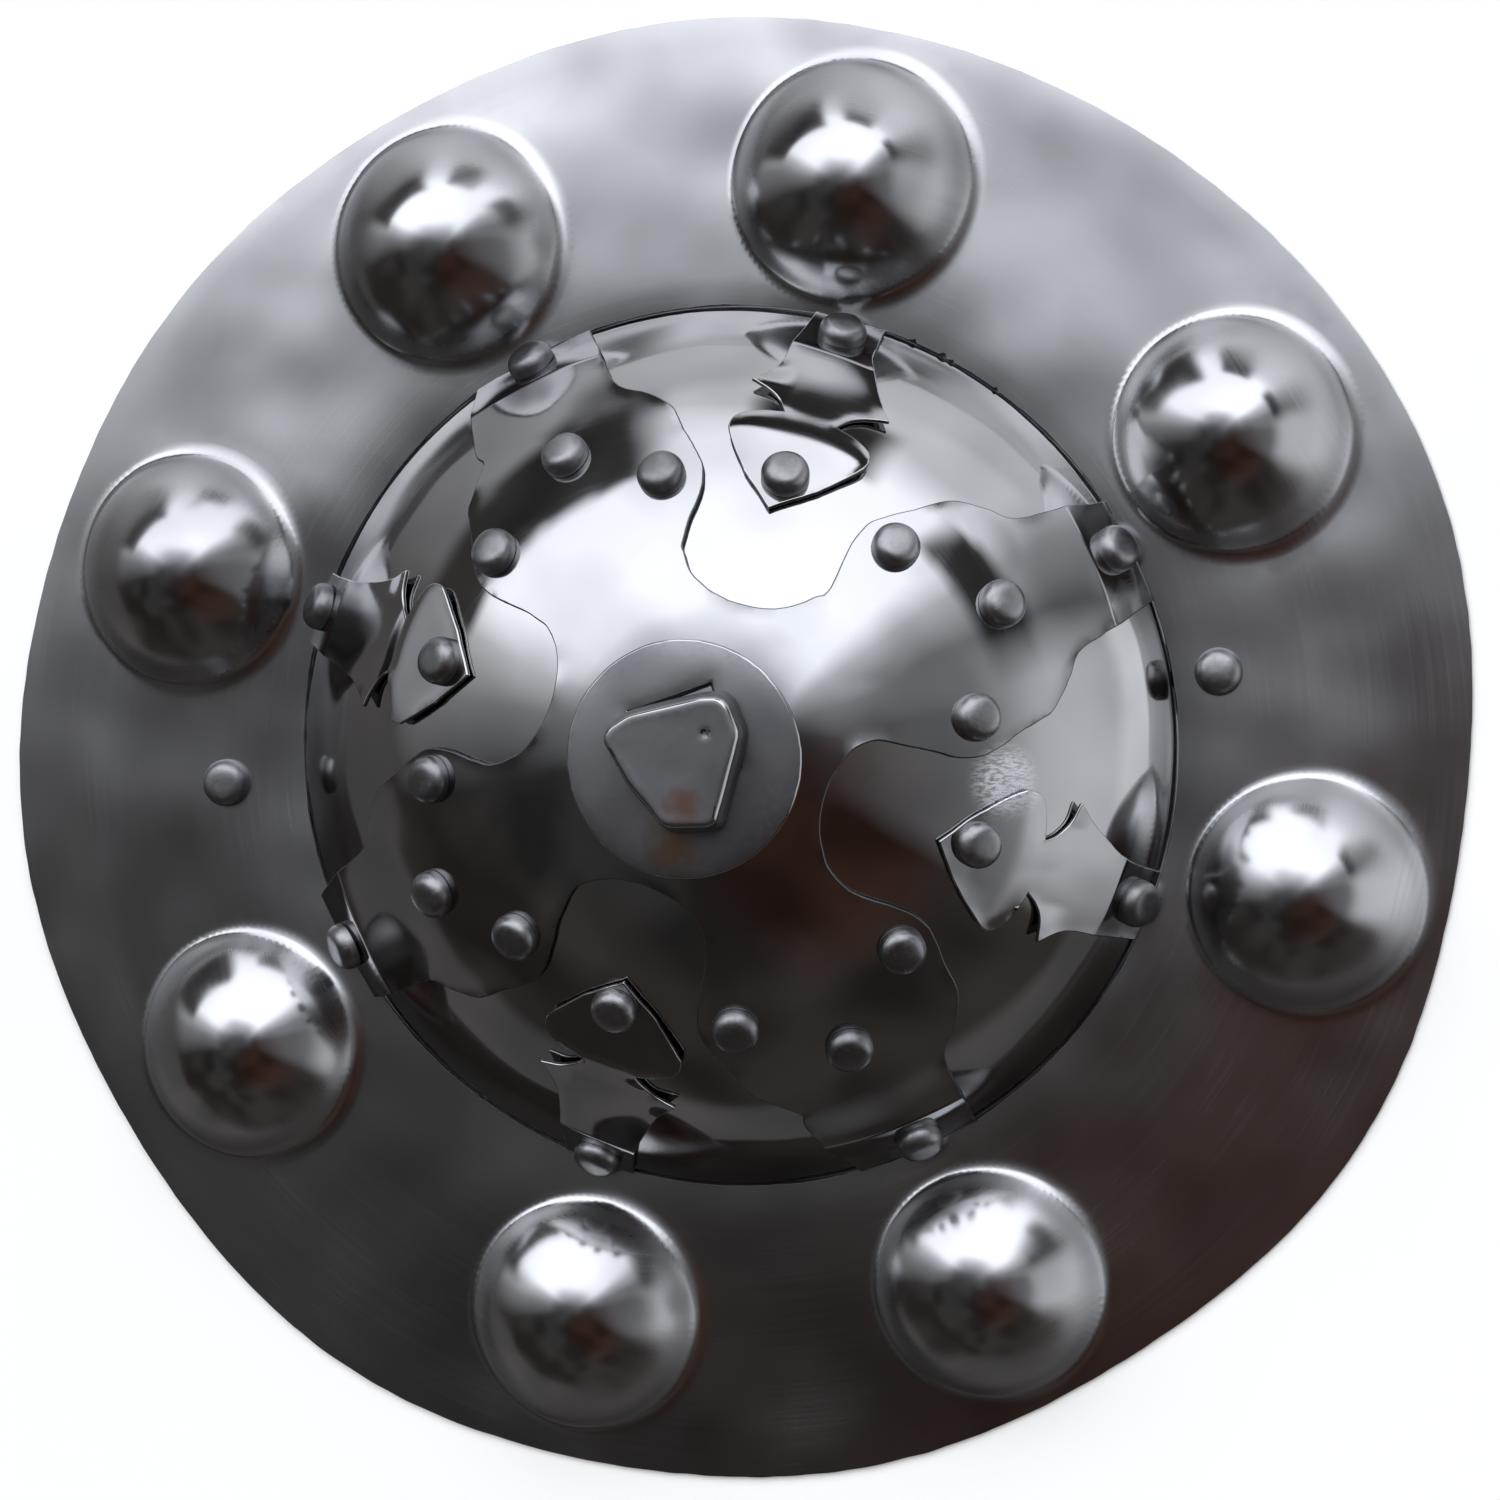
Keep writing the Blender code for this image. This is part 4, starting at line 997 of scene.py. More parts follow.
def away_from(points, others, gap):
    """Those of the points that are farther than gap from all the others."""
    apart_from = np.hypot(*(points[:, None, :] - others[None, :, :]).transpose(2, 0, 1)).min(1)
    return points[apart_from > gap]


def cover_place(out, feet, seed, near):
    spot = out * BALL
    lift = COVER_GAP + bowl_dent(out) - COVER_SUNK + dent(spot, *COVER_DENT, seed)
    curl = CURL * math.exp(-near / CURL_REACH) * (0.6 + dent(spot, *CURL_DENT, 90.0))
    return pushed(CENTRE + out * (BALL + max(COVER_LEAST, lift + curl + beaten(out, feet))))


print("crown of a cover at", round(cover_place(Vector((0, 0, 1)), [], 12.5, 50.0).z, 2), "mm")

# %% [markdown]
# The four arms and the four bays between them make one outline, filled with points and bent.

# %% Four-lobed plate
def cross_shape(x, y, near):
    out = on_ball(math.hypot(x, y), angle_of(x, y))
    return cover_place(out, ARM_FEET, 12.5, near)


cross_line = []
for arm in range(4):
    along = [*arm_side(arm, 1)[::-1], *bay_curve(arm), *arm_side((arm + 1) % 4, -1)]
    cross_line += spline(along, 5)
cross_line = ragged(resample(cross_line, 1.3), 0.35, 2.0)
creases = crease_points(ARM_FEET, cross_line)
cross_points = fill(cross_line, [], grid_points(cross_line, 2.2), 0.9)
cross_points = np.vstack([away_from(cross_points, creases, 1.0), creases])
cross = cut_sheet("lobed_plate", cross_line, [], cross_points, cross_shape,
                  cover_steel, ["cross_plate"])
# The lobed plate's rim takes the dark steel of painted shade.
thicken(cross, COVER_THICK, True, 0.5, edge_shade_steel, 2, rubbed_steel)
print("lobed plate triangles before thickness", len(cross.data.polygons))

# %% [markdown]
# ## The barbed hearts
# Each bay has a strap from the foot that ends in a heart with two barbs, held by one rivet.
# Half widths along the strap give both sides. The four straps share them and differ by a few small shifts.

# %% Straps' outline
STRAP_ANGLE = 72.0
STRAP_STATIONS = (
    (88.0, 11.6), (99.5, 20.2), (104.0, 22.0), (108.0, 20.6), (110.5, 15.6), (112.0, 8.4), (116.0, 11.0),
    (119.5, 15.4), (122.0, 22.0), (127.5, 17.8), (134.0, 15.0), (146.0, 12.2), (163.0, 11.2),
)
HEART_POINT = 77.5
HEART_SHIFTS = (1.5, -1.5, -3.5, 2.5)
HEART_SIDE_SHIFTS = (2.2, 0.0, 0.0, -1.8)
STRAP_END_SHIFTS = (7.0, 1.0, -2.0, -6.0)
# The shifts of the heart give way to those of the end between these distances from the crown.
STRAP_TURN = (124.0, 152.0)


def strap_place(strap, arc, width):
    share = soft(between(arc, *STRAP_TURN))
    moved = arc + HEART_SHIFTS[strap] * (1 - share)
    sideways = width + HEART_SIDE_SHIFTS[strap] * (1 - share) + STRAP_END_SHIFTS[strap] * share
    return polar(moved, STRAP_ANGLE + 90 * strap + side_angle(moved, sideways))


def strap_line(strap):
    """Outline of a strap. The heart's lobes are smooth, its point and the barbs are sharp."""
    sides = []
    for side in (-1, 1):
        lobe = [strap_place(strap, arc, side * width) for arc, width in STRAP_STATIONS[:6]]
        barb = [strap_place(strap, arc, side * width) for arc, width in STRAP_STATIONS[5:9]]
        tail = [strap_place(strap, arc, side * width) for arc, width in STRAP_STATIONS[8:]]
        sides.append([*spline(lobe, 5)[:-1], *spline(barb, 4)[:-1], *spline(tail, 4)])
    point = strap_place(strap, HEART_POINT, 0.0)
    return [point, *sides[0], *sides[1][::-1]]


print("corners of a strap", len(strap_line(0)))

# %% [markdown]
# The heart was left flatter than the ball, so its edges stand off and throw a dark line,
# and the barbs' tips spring up a little.

# %% Straps
STRAP_NAMES = ("top", "left", "bottom", "right")
# How flat a heart is beside the ball, how far that reaches from its rivet, and where the strap is bent again.
FLATNESS = 0.65
FLAT_REACH = 24.0
FLAT_END = (104.0, 116.0)
# The barbs: how far the tips spring up, where they are on the pattern, and how far to the side.
BARB_LIFT = 1.3
BARB_ARC = 122.0
BARB_SIDES = (12.0, 23.0)
BARB_WIDTH = 5.0


def strap_shape(strap):
    heart = on_ball(*HEART_RIVETS[strap])
    barb_arc = BARB_ARC + HEART_SHIFTS[strap]

    def shape(x, y, near):
        arc = math.hypot(x, y)
        degrees = angle_of(x, y)
        out = on_ball(arc, degrees)
        place = cover_place(out, [STRAP_FEET[strap]], 20.0 + strap, near)
        away = out.angle(heart) * BALL
        flat = FLATNESS * min(away, FLAT_REACH) ** 2 / (2 * BALL) * (1 - soft(between(arc, *FLAT_END)))
        middle = STRAP_ANGLE + 90 * strap
        sideways = math.radians(apart(degrees, middle)) * BALL * math.sin(lean_of(arc))
        tip = between(abs(sideways), *BARB_SIDES) * math.exp(-(((arc - barb_arc) / BARB_WIDTH) ** 2))
        return place + out * (flat + BARB_LIFT * tip)

    return shape


for strap, where in enumerate(STRAP_NAMES):
    line = ragged(resample(strap_line(strap), 1.1), 0.25, 6.0 + strap)
    creases = crease_points([STRAP_FEET[strap]], line)
    inner = np.vstack([away_from(fill(line, [], grid_points(line, 1.8), 0.8), creases, 1.0), creases])
    piece = cut_sheet(f"heart_{where}", line, [], inner, strap_shape(strap),
                      cover_steel, [f"heart_strap_{where}"])
    # Its rim takes the dark steel of painted shade.
    thicken(piece, COVER_THICK, True, 0.45, edge_shade_steel, 2, bright_steel)
    print(piece.name, "triangles before thickness", len(piece.data.polygons))

# %% [markdown]
# ## Washer and stud
# A thick dished washer with a square hole sits on the crown, and a five-sided forged stud goes through it.
# The washer is cut and bent as the plates are, with a broader Bevel, because its edge is worn round.

# %% Washer
WASHER_RADIUS = 35.2
WASHER_CENTRE = (-0.2, -1.0)
WASHER_THICK = 2.8
WASHER_SEAT = BALL + 0.5 + COVER_THICK + 0.5
WASHER_DENT = (18.0, 0.14, 31.0)
# Its edge is worn down by 0.8 over 2.5 millimetres, and its rim stands 0.6 off the ball.
WASHER_WEAR = (0.8, 2.5)
WASHER_DISH = 0.6
HOLE_SIDE = 25.8
HOLE_MIDDLE = (0.5, 5.0)
HOLE_TURN = 19.7


def washer_shape(x, y, near):
    depth, width = WASHER_WEAR
    lift = dent((x, y, 0), *WASHER_DENT) - depth * math.exp(-near / width)
    lift += WASHER_DISH * (math.hypot(x, y) / WASHER_RADIUS) ** 4
    return Vector((x, y, BALL_Z + math.sqrt(WASHER_SEAT**2 - x * x - y * y) + lift))


washer_line = ragged(ring(WASHER_RADIUS - 0.1, 150, WASHER_CENTRE), 0.18, 40.0)
square = ring(HOLE_SIDE / math.sqrt(2), 4, HOLE_MIDDLE, math.radians(HOLE_TURN + 45))
square = resample(square, 2.0)
washer_points = fill(washer_line, [square], grid_points(washer_line, 2.2), 1.0)
washer = cut_sheet("dished_washer", washer_line, [square], washer_points, washer_shape,
                   ground_steel, ["umbo_washer"])
# The washer's rim takes the dark steel of painted shade, the shadowed gap all round it.
thicken(washer, WASHER_THICK - 0.15, True, 1.1, edge_shade_steel, 3, bright_steel)
print("washer triangles before thickness", len(washer.data.polygons))

# %% [markdown]
# The stud's head was filed flat on top, with its upper edge rounded over. Its outline has sharp and blunt corners.
# Rings of that outline give the flared sides and the round edge, and a few dents keep it from looking machined.

# %% Stud's outline
STUD_CORNERS = (
    (-20.8, 8.2), (-14.4, 12.3), (7.6, 17.6), (13.2, 17.8), (15.6, 15.6), (19.0, 6.8),
    (12.0, -19.4), (9.6, -20.6), (-2.0, -20.8), (-4.6, -19.6), (-15.2, -6.8), (-21.8, 4.4),
)
# A corner is rounded over this share of its shorter side, but of no more than so many millimetres of it.
CORNER_SHARE = 0.45
CORNER_LONGEST = 4.0


def stud_line():
    """The head's outline with its corners rounded."""
    corners = np.array(STUD_CORNERS)
    points = []
    for i, corner in enumerate(corners):
        before, after = corners[i - 1], corners[(i + 1) % len(corners)]
        reach = CORNER_SHARE * min(np.linalg.norm(before - corner), np.linalg.norm(after - corner), CORNER_LONGEST)
        a = corner + (before - corner) / np.linalg.norm(before - corner) * reach
        b = corner + (after - corner) / np.linalg.norm(after - corner) * reach
        for t in (0.0, 0.33, 0.67, 1.0):
            points.append(tuple(a * (1 - t) ** 2 + corner * 2 * t * (1 - t) + b * t * t))
    return resample(points, 1.5)


print("outline points", len(stud_line()))

# %% [markdown]
# The sides, the top with its nick and the shank that goes through the bowl are one solid in one mesh.

# %% Stud
STUD_BASE = BALL_Z + BALL + 0.5 + COVER_THICK + 0.5 + WASHER_THICK + 0.4
STUD_HEIGHT = 8.22
# The head flares toward its foot. Its upper edge is a quarter circle of this radius, just outside the outline.
STUD_FLARE = 1.8
STUD_EDGE = 2.0
STUD_OUTSIDE = 0.35
STUD_TOP = STUD_BASE + STUD_HEIGHT
SIDE_DENT = (9.0, 0.25, 50.0)
TOP_DENT = (10.0, 0.10, 60.0)
# A nick near one corner: its place, depth and width.
NICK = (9.0, 7.0)
NICK_DEPTH = 0.55
NICK_WIDTH = 1.3
BOWL_INSIDE = BALL_Z + BALL - BOWL_THICK
SHANK_SIDES = 32
# Rings of the shank, downward: height and radius.
SHANK = ((STUD_BASE + 0.2, 8.0), (BOWL_INSIDE - 0.9, 8.0), (BOWL_INSIDE - 1.6, 7.2))


def stud_piece():
    line = stud_line()
    middle = np.mean(line, axis=0)
    steps = [(STUD_BASE, STUD_FLARE), (STUD_BASE + STUD_HEIGHT * 0.5, STUD_FLARE * 0.55)]
    for turn in np.radians(np.linspace(0, 90, 5)):
        rise, inward = STUD_EDGE * (1 - math.sin(turn)), STUD_EDGE * (1 - math.cos(turn))
        steps.append((STUD_TOP - rise, STUD_OUTSIDE - inward))
    points = []
    for z, grow in steps:
        for x, y in line:
            away = Vector((x - middle[0], y - middle[1])).normalized()
            wobble = dent((x, y, z), *SIDE_DENT)
            points.append(Vector((x + away.x * (grow + wobble), y + away.y * (grow + wobble), z)))
    n = len(line)
    faces = skin(len(steps), n)
    faces.append(list(range(n))[::-1])
    flat = [(p.x, p.y) for p in points[-n:]]
    inner = fill(flat, [], grid_points(flat, 1.1), 0.7)
    coords = [*flat, *map(tuple, inner)]
    loop = [(i, (i + 1) % n) for i in range(n)]
    places, _, top_faces, *_ = geometry.delaunay_2d_cdt([Vector(p) for p in coords], loop, [], 1, 1e-5)
    faces += [[len(points) + i for i in f] for f in top_faces]
    for x, y in places:
        dip = NICK_DEPTH * math.exp(-(((x - NICK[0]) ** 2 + (y - NICK[1]) ** 2) / NICK_WIDTH))
        from_edge = between(distance_to([(x, y)], flat)[0], 0.0, 2.0)
        swell = dent((x, y, 0), *TOP_DENT) * from_edge - 0.05 * from_edge
        points.append(Vector((x, y, STUD_TOP + swell - dip)))
    shank = len(points)
    for z, radius in SHANK:
        points += [Vector((x, y, z)) for x, y in ring(radius, SHANK_SIDES)]
    faces += [face[::-1] for face in skin(len(SHANK), SHANK_SIDES, shank)]
    faces.append([shank + 2 * SHANK_SIDES + i for i in range(SHANK_SIDES)][::-1])
    faces.append([shank + i for i in range(SHANK_SIDES)])
    piece = new_piece("forged_stud", points, faces, ground_steel, ["umbo_stud"], closed=True)
    piece.data.materials.append(bright_steel)
    for face in piece.data.polygons:
        if face.center.z / MM > STUD_TOP - STUD_EDGE and 0.1 < abs(face.normal.z) < 0.97:
            face.material_index = 1
    return piece


stud = stud_piece()
print("stud faces", len(stud.data.polygons))

# %% [markdown]
# ## Rivets
# The rivets were closed with a hammer, so each dome is a little lopsided and flat on top, and stands on a short
# upright edge. A lathe profile makes them all, and a dent of its own makes each one different.
# Inside the bowl each rivet's tail was spread to a low button.

# %% Rivets
# Half profile of a head: share of its radius, share of its height.
HEAD = (
    (1.0, 0.0), (1.0, 0.28), (0.985, 0.41), (0.94, 0.57), (0.87, 0.71), (0.78, 0.83),
    (0.68, 0.905), (0.56, 0.95), (0.4, 0.98), (0.2, 0.995), (0.0, 1.0),
)
RIVET_SIDES = 36
# Dents of a head: width and depth. They fade out toward its foot, and the whole head is sunk by a little.
RIVET_DENT = (8.0, 0.5)
CALM_HEAD = 4.0
HEAD_SUNK = 0.15
HEAD_NARROWER = 0.1
SHANK_RADIUS = 2.8
SINK = 0.3
TAIL_RADIUS = 4.6
TAIL_HEIGHT = 1.1


def rivet(name, seat, out, depth, seed, tail):
    """A rivet on its seat: head outward, shank inward to depth, and a spread tail if it has one."""
    down = Vector((0, 0, 1)).cross(out).normalized().cross(out)
    level = out.cross(down)
    rows = [(-depth, 0.0)]
    if tail:
        rows = [(-depth - tail, 0.0), (-depth - tail * 0.8, TAIL_RADIUS * 0.6), (-depth, TAIL_RADIUS)]
    rows += [(-depth, SHANK_RADIUS), (-SINK, SHANK_RADIUS), (-SINK, HEAD_RADIUS - HEAD_NARROWER)]
    rows += [(HEAD_HEIGHT * lift, (HEAD_RADIUS - HEAD_NARROWER) * share) for share, lift in HEAD]
    points = []
    for height, radius in rows:
        for x, y in ring(radius, RIVET_SIDES):
            spot = out * height + down * x + level * y
            uneven = 0.0
            if height > 0:
                place = spot + Vector((seed * 17, 0, 0))
                uneven = dent(place, *RIVET_DENT, seed) * between(height, 0.0, CALM_HEAD) - HEAD_SUNK
            points.append(seat + spot + out * uneven)
    return new_piece(f"{name}_head", points, skin(len(rows), RIVET_SIDES), filed_steel, [name],
                     closed=True)


print("points on half a head's profile", len(HEAD))

# %% [markdown]
# A rivet on the bowl stands at its place on the flat pattern, one on the plate between two bosses.
# Its shank goes through whatever lies below, so its length follows from the thicknesses.

# %% All the rivets
PLATE_RIVETS = ((15.4, 9.1), (29.5, 184.4))
BEHIND_PLATE = 4.1
heads = []
through = COVER_GAP + COVER_THICK + BOWL_THICK + 0.2
for kind, places in (("lobe", LOBE_RIVETS), ("heart", HEART_RIVETS), ("foot", (*ARM_FEET, *STRAP_FEET))):
    for number, (arc, degrees, *lift) in enumerate(places, 1):
        out = on_ball(arc, degrees)
        seat = pushed(CENTRE + out * (BALL + 2.0 + sum(lift)))
        seed = number + len(kind) * 3.3
        heads.append(rivet(f"rivet_{kind}_{number}", seat, out, through + sum(lift), seed, TAIL_HEIGHT))
for number, (away, degrees) in enumerate(PLATE_RIVETS, 1):
    x, y = polar(FOOT + away, degrees)
    out = plate_normal(x, y)
    lift = plate_lift(x, y)
    seat = Vector((x, y, plate_top(x, y))) + out * lift
    heads.append(rivet(f"rivet_plate_{number}", seat, out, PLATE_THICK + BEHIND_PLATE + lift, 70.0 + number, 0.0))
print("rivets", len(heads))

# %% [markdown]
# ## The grip
# Nobody sees the back in a picture of the face, so the grip is the usual one: a flat forged bar riveted through
# the plate on both sides, lifted in the middle to give the fingers room, with leather wound round it.
# The bar's own solid in the frame has the right bends, so it keeps its mesh and only takes a better finish.

# %% Bar
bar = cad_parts["grip_bar"]
bar.material_slots[0].material = forge_steel

# %% [markdown]
# ## Vegetable-tanned leather
# A dark brown strip, waxed and worn by hands. Leather is not a metal: its colour is its own, with a soft,
# fairly rough shine of about 0.5. The grain is a net of small cells, drawn about one and a half millimetres wide.

# %% Leather
GRAIN = 1.5
leather, tree, shader = new_material("waxed_leather")
shader.inputs["IOR"].default_value = 1.5
here = [("Vector", add(tree, "TexCoord"), "Object")]
cells = add(tree, "TexVoronoi", here, [("Scale", 1 / (GRAIN * MM))])
wear = add(tree, "TexNoise", here, [("Scale", 70.0), ("Detail", 4.0)])
tone = add(tree, "ValToRGB", [("Fac", wear, "Fac")], stops=[(0.35, "#3A2216"), (0.7, "#6B432A")])
rough = add(tree, "MapRange", [("Value", wear, "Fac")], enumerate((0.62, 0.42), 3))
relief = add(tree, "Bump", [("Height", cells, "Distance")], [("Strength", 0.6), ("Distance", 0.2 * MM)])
for source, key in ((tone, "Base Color"), (rough, "Roughness"), (relief, "Normal")):
    tree.links.new(source.outputs[0], shader.inputs[key])
print("leather", leather.name)

# %% [markdown]
# The strip is nine millimetres wide and each turn lies on the edge of the last. A screw modifier could wind a strip,
# but one closed tube with a ridge that runs round it in a spiral is simpler and has no gaps.

# %% Wound leather
WRAP_LENGTH = 112.0
WRAP_WIDE = 33.0
WRAP_TALL = 21.0
WRAP_SWELL = 0.10
WRAP_SHRINK = 0.975
# Both ends close over this length and are this share thinner.
WRAP_END = 1.5
WRAP_CLOSE = 0.06
TURN_WIDTH = 9.0
# An overlap stands this high, and falls off over the width of a turn after a short rise.
OVERLAP = 0.55
OVERLAP_RISE = 0.06
OVERLAP_MEAN = 0.4
WRAP_RADIUS = 12
GRIP_MIDDLE_Z = 22.0
WRAP_SIDES = 48
WRAP_SECTIONS = 150


def bulge(turn, size):
    """Half of a size, towards a turn, on an outline between a circle and a square."""
    return math.copysign(abs(turn) ** 0.8, turn) * size / 2


def wound_leather():
    right, left = (Vector(polar(FOOT + away, degrees)) for away, degrees in PLATE_RIVETS)
    along = (right - left).normalized()
    side = Vector((-along.y, along.x))
    base = right - along * right.dot(along)
    middle = (right.dot(along) + left.dot(along)) / 2
    points = []
    for i in range(WRAP_SECTIONS + 1):
        share = i / WRAP_SECTIONS
        u = middle + WRAP_LENGTH * (share - 0.5)
        swell = (1 + WRAP_SWELL * math.sin(math.pi * share)) * WRAP_SHRINK
        end = between(min(share, 1 - share) * WRAP_LENGTH, 0.0, WRAP_END)
        for j in range(WRAP_SIDES):
            turn = 2 * math.pi * j / WRAP_SIDES
            strip = (share * WRAP_LENGTH / TURN_WIDTH + j / WRAP_SIDES) % 1.0
            ridge = OVERLAP * (1 - strip) ** 2 if strip > OVERLAP_RISE else OVERLAP * strip / OVERLAP_RISE
            grow = swell + (ridge - OVERLAP_MEAN) / WRAP_RADIUS * end - WRAP_CLOSE * (1 - end)
            spot = base + along * u + side * (bulge(math.cos(turn), WRAP_WIDE) * grow)
            points.append(Vector((spot.x, spot.y, GRIP_MIDDLE_Z + bulge(math.sin(turn), WRAP_TALL) * grow)))
    faces = skin(WRAP_SECTIONS + 1, WRAP_SIDES)
    faces.append(list(range(WRAP_SIDES)))
    faces.append([WRAP_SECTIONS * WRAP_SIDES + j for j in range(WRAP_SIDES)])
    return new_piece("wound_grip", points, faces, leather, ["grip_wrap"], closed=True)


grip = wound_leather()
print("leather faces", len(grip.data.polygons))

# %% [markdown]
# ## Table, light and camera
# Bare metal shows its surroundings more than itself. So the table is a plain pale one under one broad, soft lamp,
# and the steel mirrors neither: its light comes from the room round it, which the next part draws.

# %% Table
TABLE_SIZE = 6.0
table_paint, tree, shader = new_material("pale_table_paint")
shader.inputs["Roughness"].default_value = 0.7
here = [("Vector", add(tree, "TexCoord"), "Object")]
# The paint's clouds are a third of a metre wide, coarser than real ones, so that they show at all.
mottle = add(tree, "TexNoise", here, [("Scale", 3.0), ("Detail", 1.0)])
tone = add(tree, "ValToRGB", [("Fac", mottle, "Fac")], stops=[(0.3, "#F5F5F3"), (0.7, "#F8F8F7")])
tree.links.new(tone.outputs["Color"], shader.inputs["Base Color"])
bpy.ops.mesh.primitive_plane_add(size=TABLE_SIZE, location=(0.0, 0.0, 0.0))
table = bpy.context.object
table.name = "table"
table.data.materials.append(table_paint)
table.visible_glossy = False
print("table", table.dimensions[:])

# %% [markdown]
# A photographer would hang a curved white sheet over the upper side and light it from behind.
# Its glow fades at its edges, so it is drawn as light of the world: one ramp says how bright each height is,
# another how bright each side is. Below the horizon light ground carries the sheet's light on.
# Dark cupboards before the sheet give the polished bowl its dark bands. A doorway on the right is dimmer,
# and the near side has a warm brown wall with dark patches.

# %% Sheet of light and room
SHEET_GLOW = 2.35
SHEET_AZIMUTH = 99.0
# The sheet hangs a little askew: its heights are counted towards this direction.
SHEET_TOP = (-0.11, -0.06, 1.0)
# Height of a direction (1 is at the top) and glow there.
SHEET_HEIGHTS = (
    (0.0, 0.5), (0.10, 0.75), (0.18, 0.92), (0.70, 1.0), (0.82, 0.88), (0.905, 0.36), (0.955, 0.11), (0.985, 0.0),
)
# How nearly a direction faces the sheet's middle, seen from above, and glow there.
SHEET_SIDES = ((-0.15, 0.0), (0.30, 0.15), (0.48, 0.42), (0.62, 1.0))
# Dark cupboards before the sheet: azimuth, how nearly a direction has to face one, and its foot and top.
CUPBOARDS = ((138.0, 0.87, 0.94, -0.90, 0.34), (25.0, 0.88, 0.95, 0.13, 0.34), (82.0, 0.962, 0.988, -0.05, 0.22))
CUPBOARD_BLUR = 0.03
# A lit doorway on the right: dimmer, from the floor up, fading overhead.
DOOR_AZIMUTH = -4.0
DOOR_SIDES = ((0.87, 0.0), (0.96, 1.0))
DOOR_HEIGHTS = ((0.0, 0.95), (0.2, 0.8), (0.45, 0.24), (0.75, 0.10), (0.97, 0.0))
# Light ground in front of the sheet: where it ends below the horizon, and its glow by side.
GROUND_EDGE = (-0.02, -0.12)
GROUND_AZIMUTH = 72.0
GROUND_SIDES = ((0.0, 0.08), (0.35, 0.40), (0.75, 0.85), (1.0, 1.0))
# Walls and ceiling, by how nearly a direction faces this one, and a brown patch among them.
SHADE_MIDDLE = (0, 0.45, 0.9)
SHADES = (
    (0.0, "#3E3936"), (0.2, "#3C3A38"), (0.45, "#3A3938"), (0.62, "#343433"),
    (0.82, "#454443"), (0.90, "#66686C"), (1.0, "#999CA1"),
)
BROWN_MIDDLE = (0.32, -0.42, 0.85)
BROWN_REACH = ((0.82, 0.0), (0.96, 1.0))
# Patches on the walls: how fine they are, values of the noise from dark to light, and brightness there.
PATCH_SCALE = 3.2
PATCH_RANGE = (0.35, 0.68)
PATCH_LIGHT = (0.7, 1.5)
DAYLIGHT = (0.96, 0.99, 1.05)
print("cupboards", len(CUPBOARDS))

# %% [markdown]
# Each of those shapes is round one direction. The dot product with it is 1 there and falls off all round,
# so a ramp or a smooth step on the product draws a soft patch of light or dark on the room.

# %% Directions of the room
world = bpy.data.worlds.new("dim_room")
bpy.context.scene.world = world
world.use_nodes = True
room = world.node_tree
heading = add(room, "TexCoord")
flat_heading = add(room, "VectorMath", [(0, heading, "Generated")], [(1, (1, 1, 0))], operation="MULTIPLY")
level_heading = add(room, "VectorMath", [(0, flat_heading, 0)], operation="NORMALIZE")

# How nearly each direction of the room is a chosen one, and the glow there.
facing, glow = {}, {}
for name, seen_from_above, middle, stops in (
    ("height", False, SHEET_TOP, SHEET_HEIGHTS),
    ("side", True, polar(1.0, SHEET_AZIMUTH), SHEET_SIDES),
    ("ground", True, polar(1.0, GROUND_AZIMUTH), GROUND_SIDES),
    ("door side", True, polar(1.0, DOOR_AZIMUTH), DOOR_SIDES),
    ("door height", False, SHEET_TOP, DOOR_HEIGHTS),
    ("shade", False, SHADE_MIDDLE, SHADES),
    ("brown", False, BROWN_MIDDLE, BROWN_REACH),
    ("horizon", False, (0, 0, 1), ()),
    *((number, True, polar(1.0, cupboard[0]), ()) for number, cupboard in enumerate(CUPBOARDS)),
):
    source, output = (level_heading, 0) if seen_from_above else (heading, "Generated")
    facing[name] = add(room, "VectorMath", [(0, source, output)],
                       [(1, Vector(middle).to_3d().normalized())], operation="DOT_PRODUCT")
    if stops:
        glow[name] = add(room, "ValToRGB", [("Fac", facing[name], "Value")], stops=stops)
print("directions", len(facing), "with a ramp", len(glow))

# %% [markdown]
# The cupboards cover the sheet, so they multiply it. The doorway's light adds to it, and the walls fill the rest.

# %% Light of the room
sheet = add(room, "Math", [(0, glow["height"], 0), (1, glow["side"], 0)], operation="MULTIPLY")
for number, (_, edge, body, foot, top) in enumerate(CUPBOARDS):
    covered = add(room, "MapRange", [("Value", facing[number], "Value")],
                  enumerate((edge, body), 1), interpolation_type="SMOOTHSTEP")
    for level, blur in ((top, -CUPBOARD_BLUR), (foot, CUPBOARD_BLUR)):
        within = add(room, "MapRange", [("Value", facing["height"], "Value")],
                     enumerate((level - blur, level + blur), 1))
        covered = add(room, "Math", [(0, within, 0), (1, covered, 0)], operation="MULTIPLY")
    seen = add(room, "Math", [(1, covered, 0)], [(0, 1.0)], operation="SUBTRACT")
    sheet = add(room, "Math", [(0, sheet, 0), (1, seen, 0)], operation="MULTIPLY")
sheet = add(room, "Math", [(0, sheet, 0)], [(1, SHEET_GLOW)], operation="MULTIPLY")
below = add(room, "MapRange", [("Value", facing["horizon"], "Value")],
            enumerate(GROUND_EDGE, 1), interpolation_type="SMOOTHSTEP")
outdoors = add(room, "Mix", [("Factor", below, 0), ("A", sheet, 0), ("B", glow["ground"], 0)])
door = add(room, "Math", [(0, glow["door side"], 0), (1, glow["door height"], 0)], operation="MULTIPLY")
light = add(room, "Math", [(0, outdoors, "Result"), (1, door, 0)], operation="ADD")
mixed = add(room, "Mix", [("Factor", glow["brown"], 0), ("A", glow["shade"], 0)], [("B", "#3F2C25")],
            data_type="RGBA")
things = add(room, "TexNoise", [("Vector", heading, "Generated")], [("Scale", PATCH_SCALE), ("Detail", 0.0)])
patches = add(room, "MapRange", [("Value", things, "Fac")], enumerate((*PATCH_RANGE, *PATCH_LIGHT), 1))
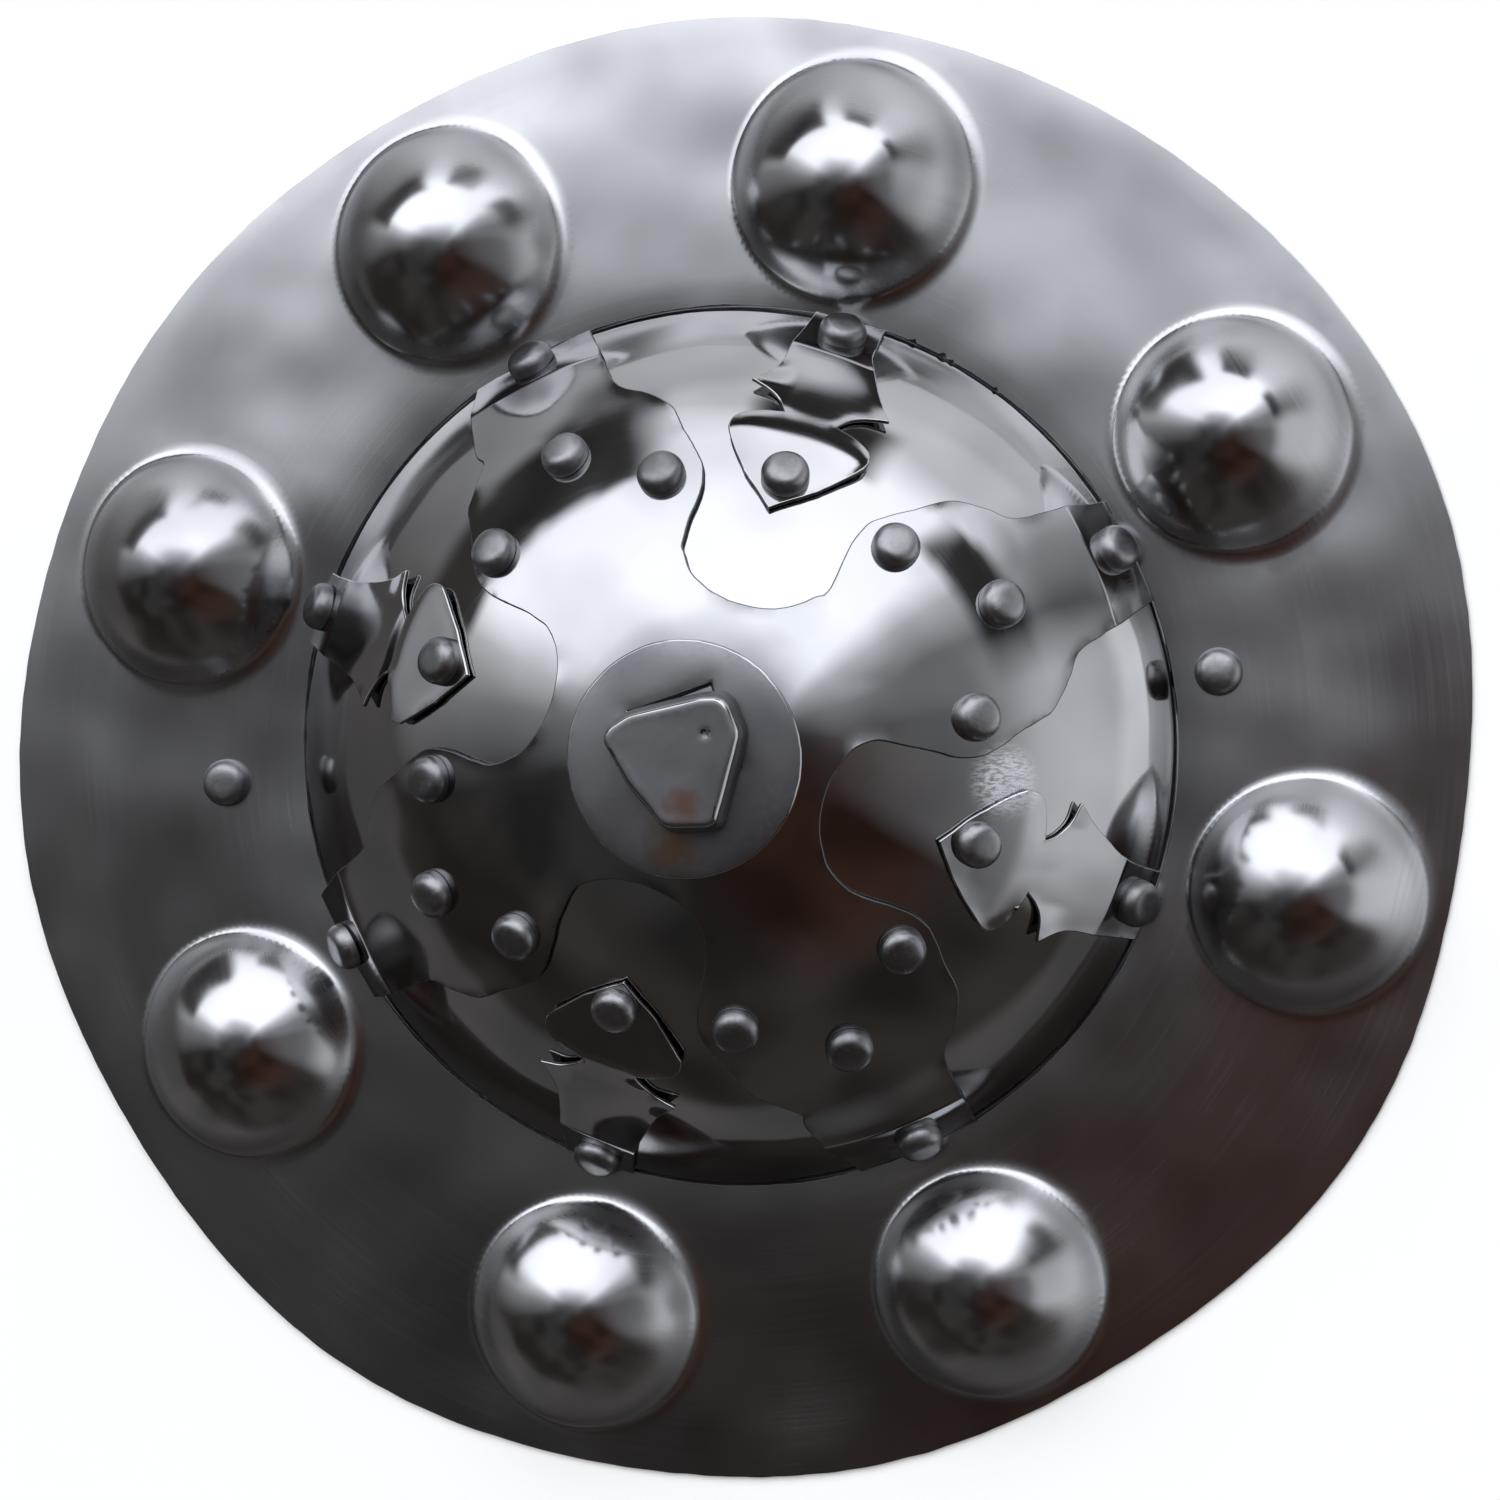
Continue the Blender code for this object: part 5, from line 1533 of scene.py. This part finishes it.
walls = add(room, "VectorMath", [(0, mixed, "Result"), (1, patches, 0)], operation="MULTIPLY")
tint = add(room, "VectorMath", [(0, light, 0)], [(1, DAYLIGHT)], operation="MULTIPLY")
whole = add(room, "VectorMath", [(0, walls, 0), (1, tint, 0)], operation="ADD")
background = room.nodes["Background"]
room.links.new(whole.outputs[0], background.inputs["Color"])
background.inputs["Strength"].default_value = 1.0
print("room nodes", len(room.nodes))

# %% [markdown]
# The table needs more light than the room gives, so it has a lamp of its own. The steel doesn't mirror it,
# as if a screen stood between them: the lamp is hidden from glossy rays.

# %% Lamp
LAMP_SIZE = 1.5
LAMP_HEIGHT = 2.5
LAMP_RADIANCE = 4.0
data = bpy.data.lights.new("table_lamp", "AREA")
data.size = LAMP_SIZE
data.energy = LAMP_RADIANCE * math.pi * LAMP_SIZE**2
table_lamp = bpy.data.objects.new("table_lamp", data)
table_lamp.location = (0.0, 0.0, LAMP_HEIGHT)
table_lamp.visible_glossy = False
bpy.context.scene.collection.objects.link(table_lamp)
bpy.context.scene.view_settings.view_transform = "Standard"
print("lamp", round(data.energy, 1), "watt")

# %% [markdown]
# The camera looks down from far away with a long lens, as in the picture, so the outline is hardly foreshortened.

# %% Camera
TILT = math.radians(12.0)
HEADING = math.radians(9.8)
CAMERA_DISTANCE = 2.6
MM_PER_PIXEL = 0.3076
PICTURE = 1500
SENSOR = 36.0
LOOK_AT = Vector((0.0048746, 0.0004740, 0.0))
# Where the picture's middle lies from there, in pixels.
PICTURE_SHIFT = (0.4, -2.4)
toward = Vector((math.sin(TILT) * math.cos(HEADING), math.sin(TILT) * math.sin(HEADING), math.cos(TILT)))
upward = (Vector((0, 1, 0)) - toward * toward.y).normalized()
rightward = upward.cross(toward)
eye = bpy.data.cameras.new("eye")
eye.sensor_width = SENSOR
eye.lens = SENSOR * CAMERA_DISTANCE / MM / MM_PER_PIXEL / PICTURE
eye.shift_x, eye.shift_y = (shift / PICTURE for shift in PICTURE_SHIFT)
eye.clip_end = 20.0
camera = bpy.data.objects.new("eye", eye)
bpy.context.scene.collection.objects.link(camera)
turned = Matrix((rightward, upward, toward)).transposed().to_4x4()
turned.translation = LOOK_AT + toward * CAMERA_DISTANCE
camera.matrix_world = turned
bpy.context.scene.camera = camera
print("lens", round(eye.lens, 1), "mm")
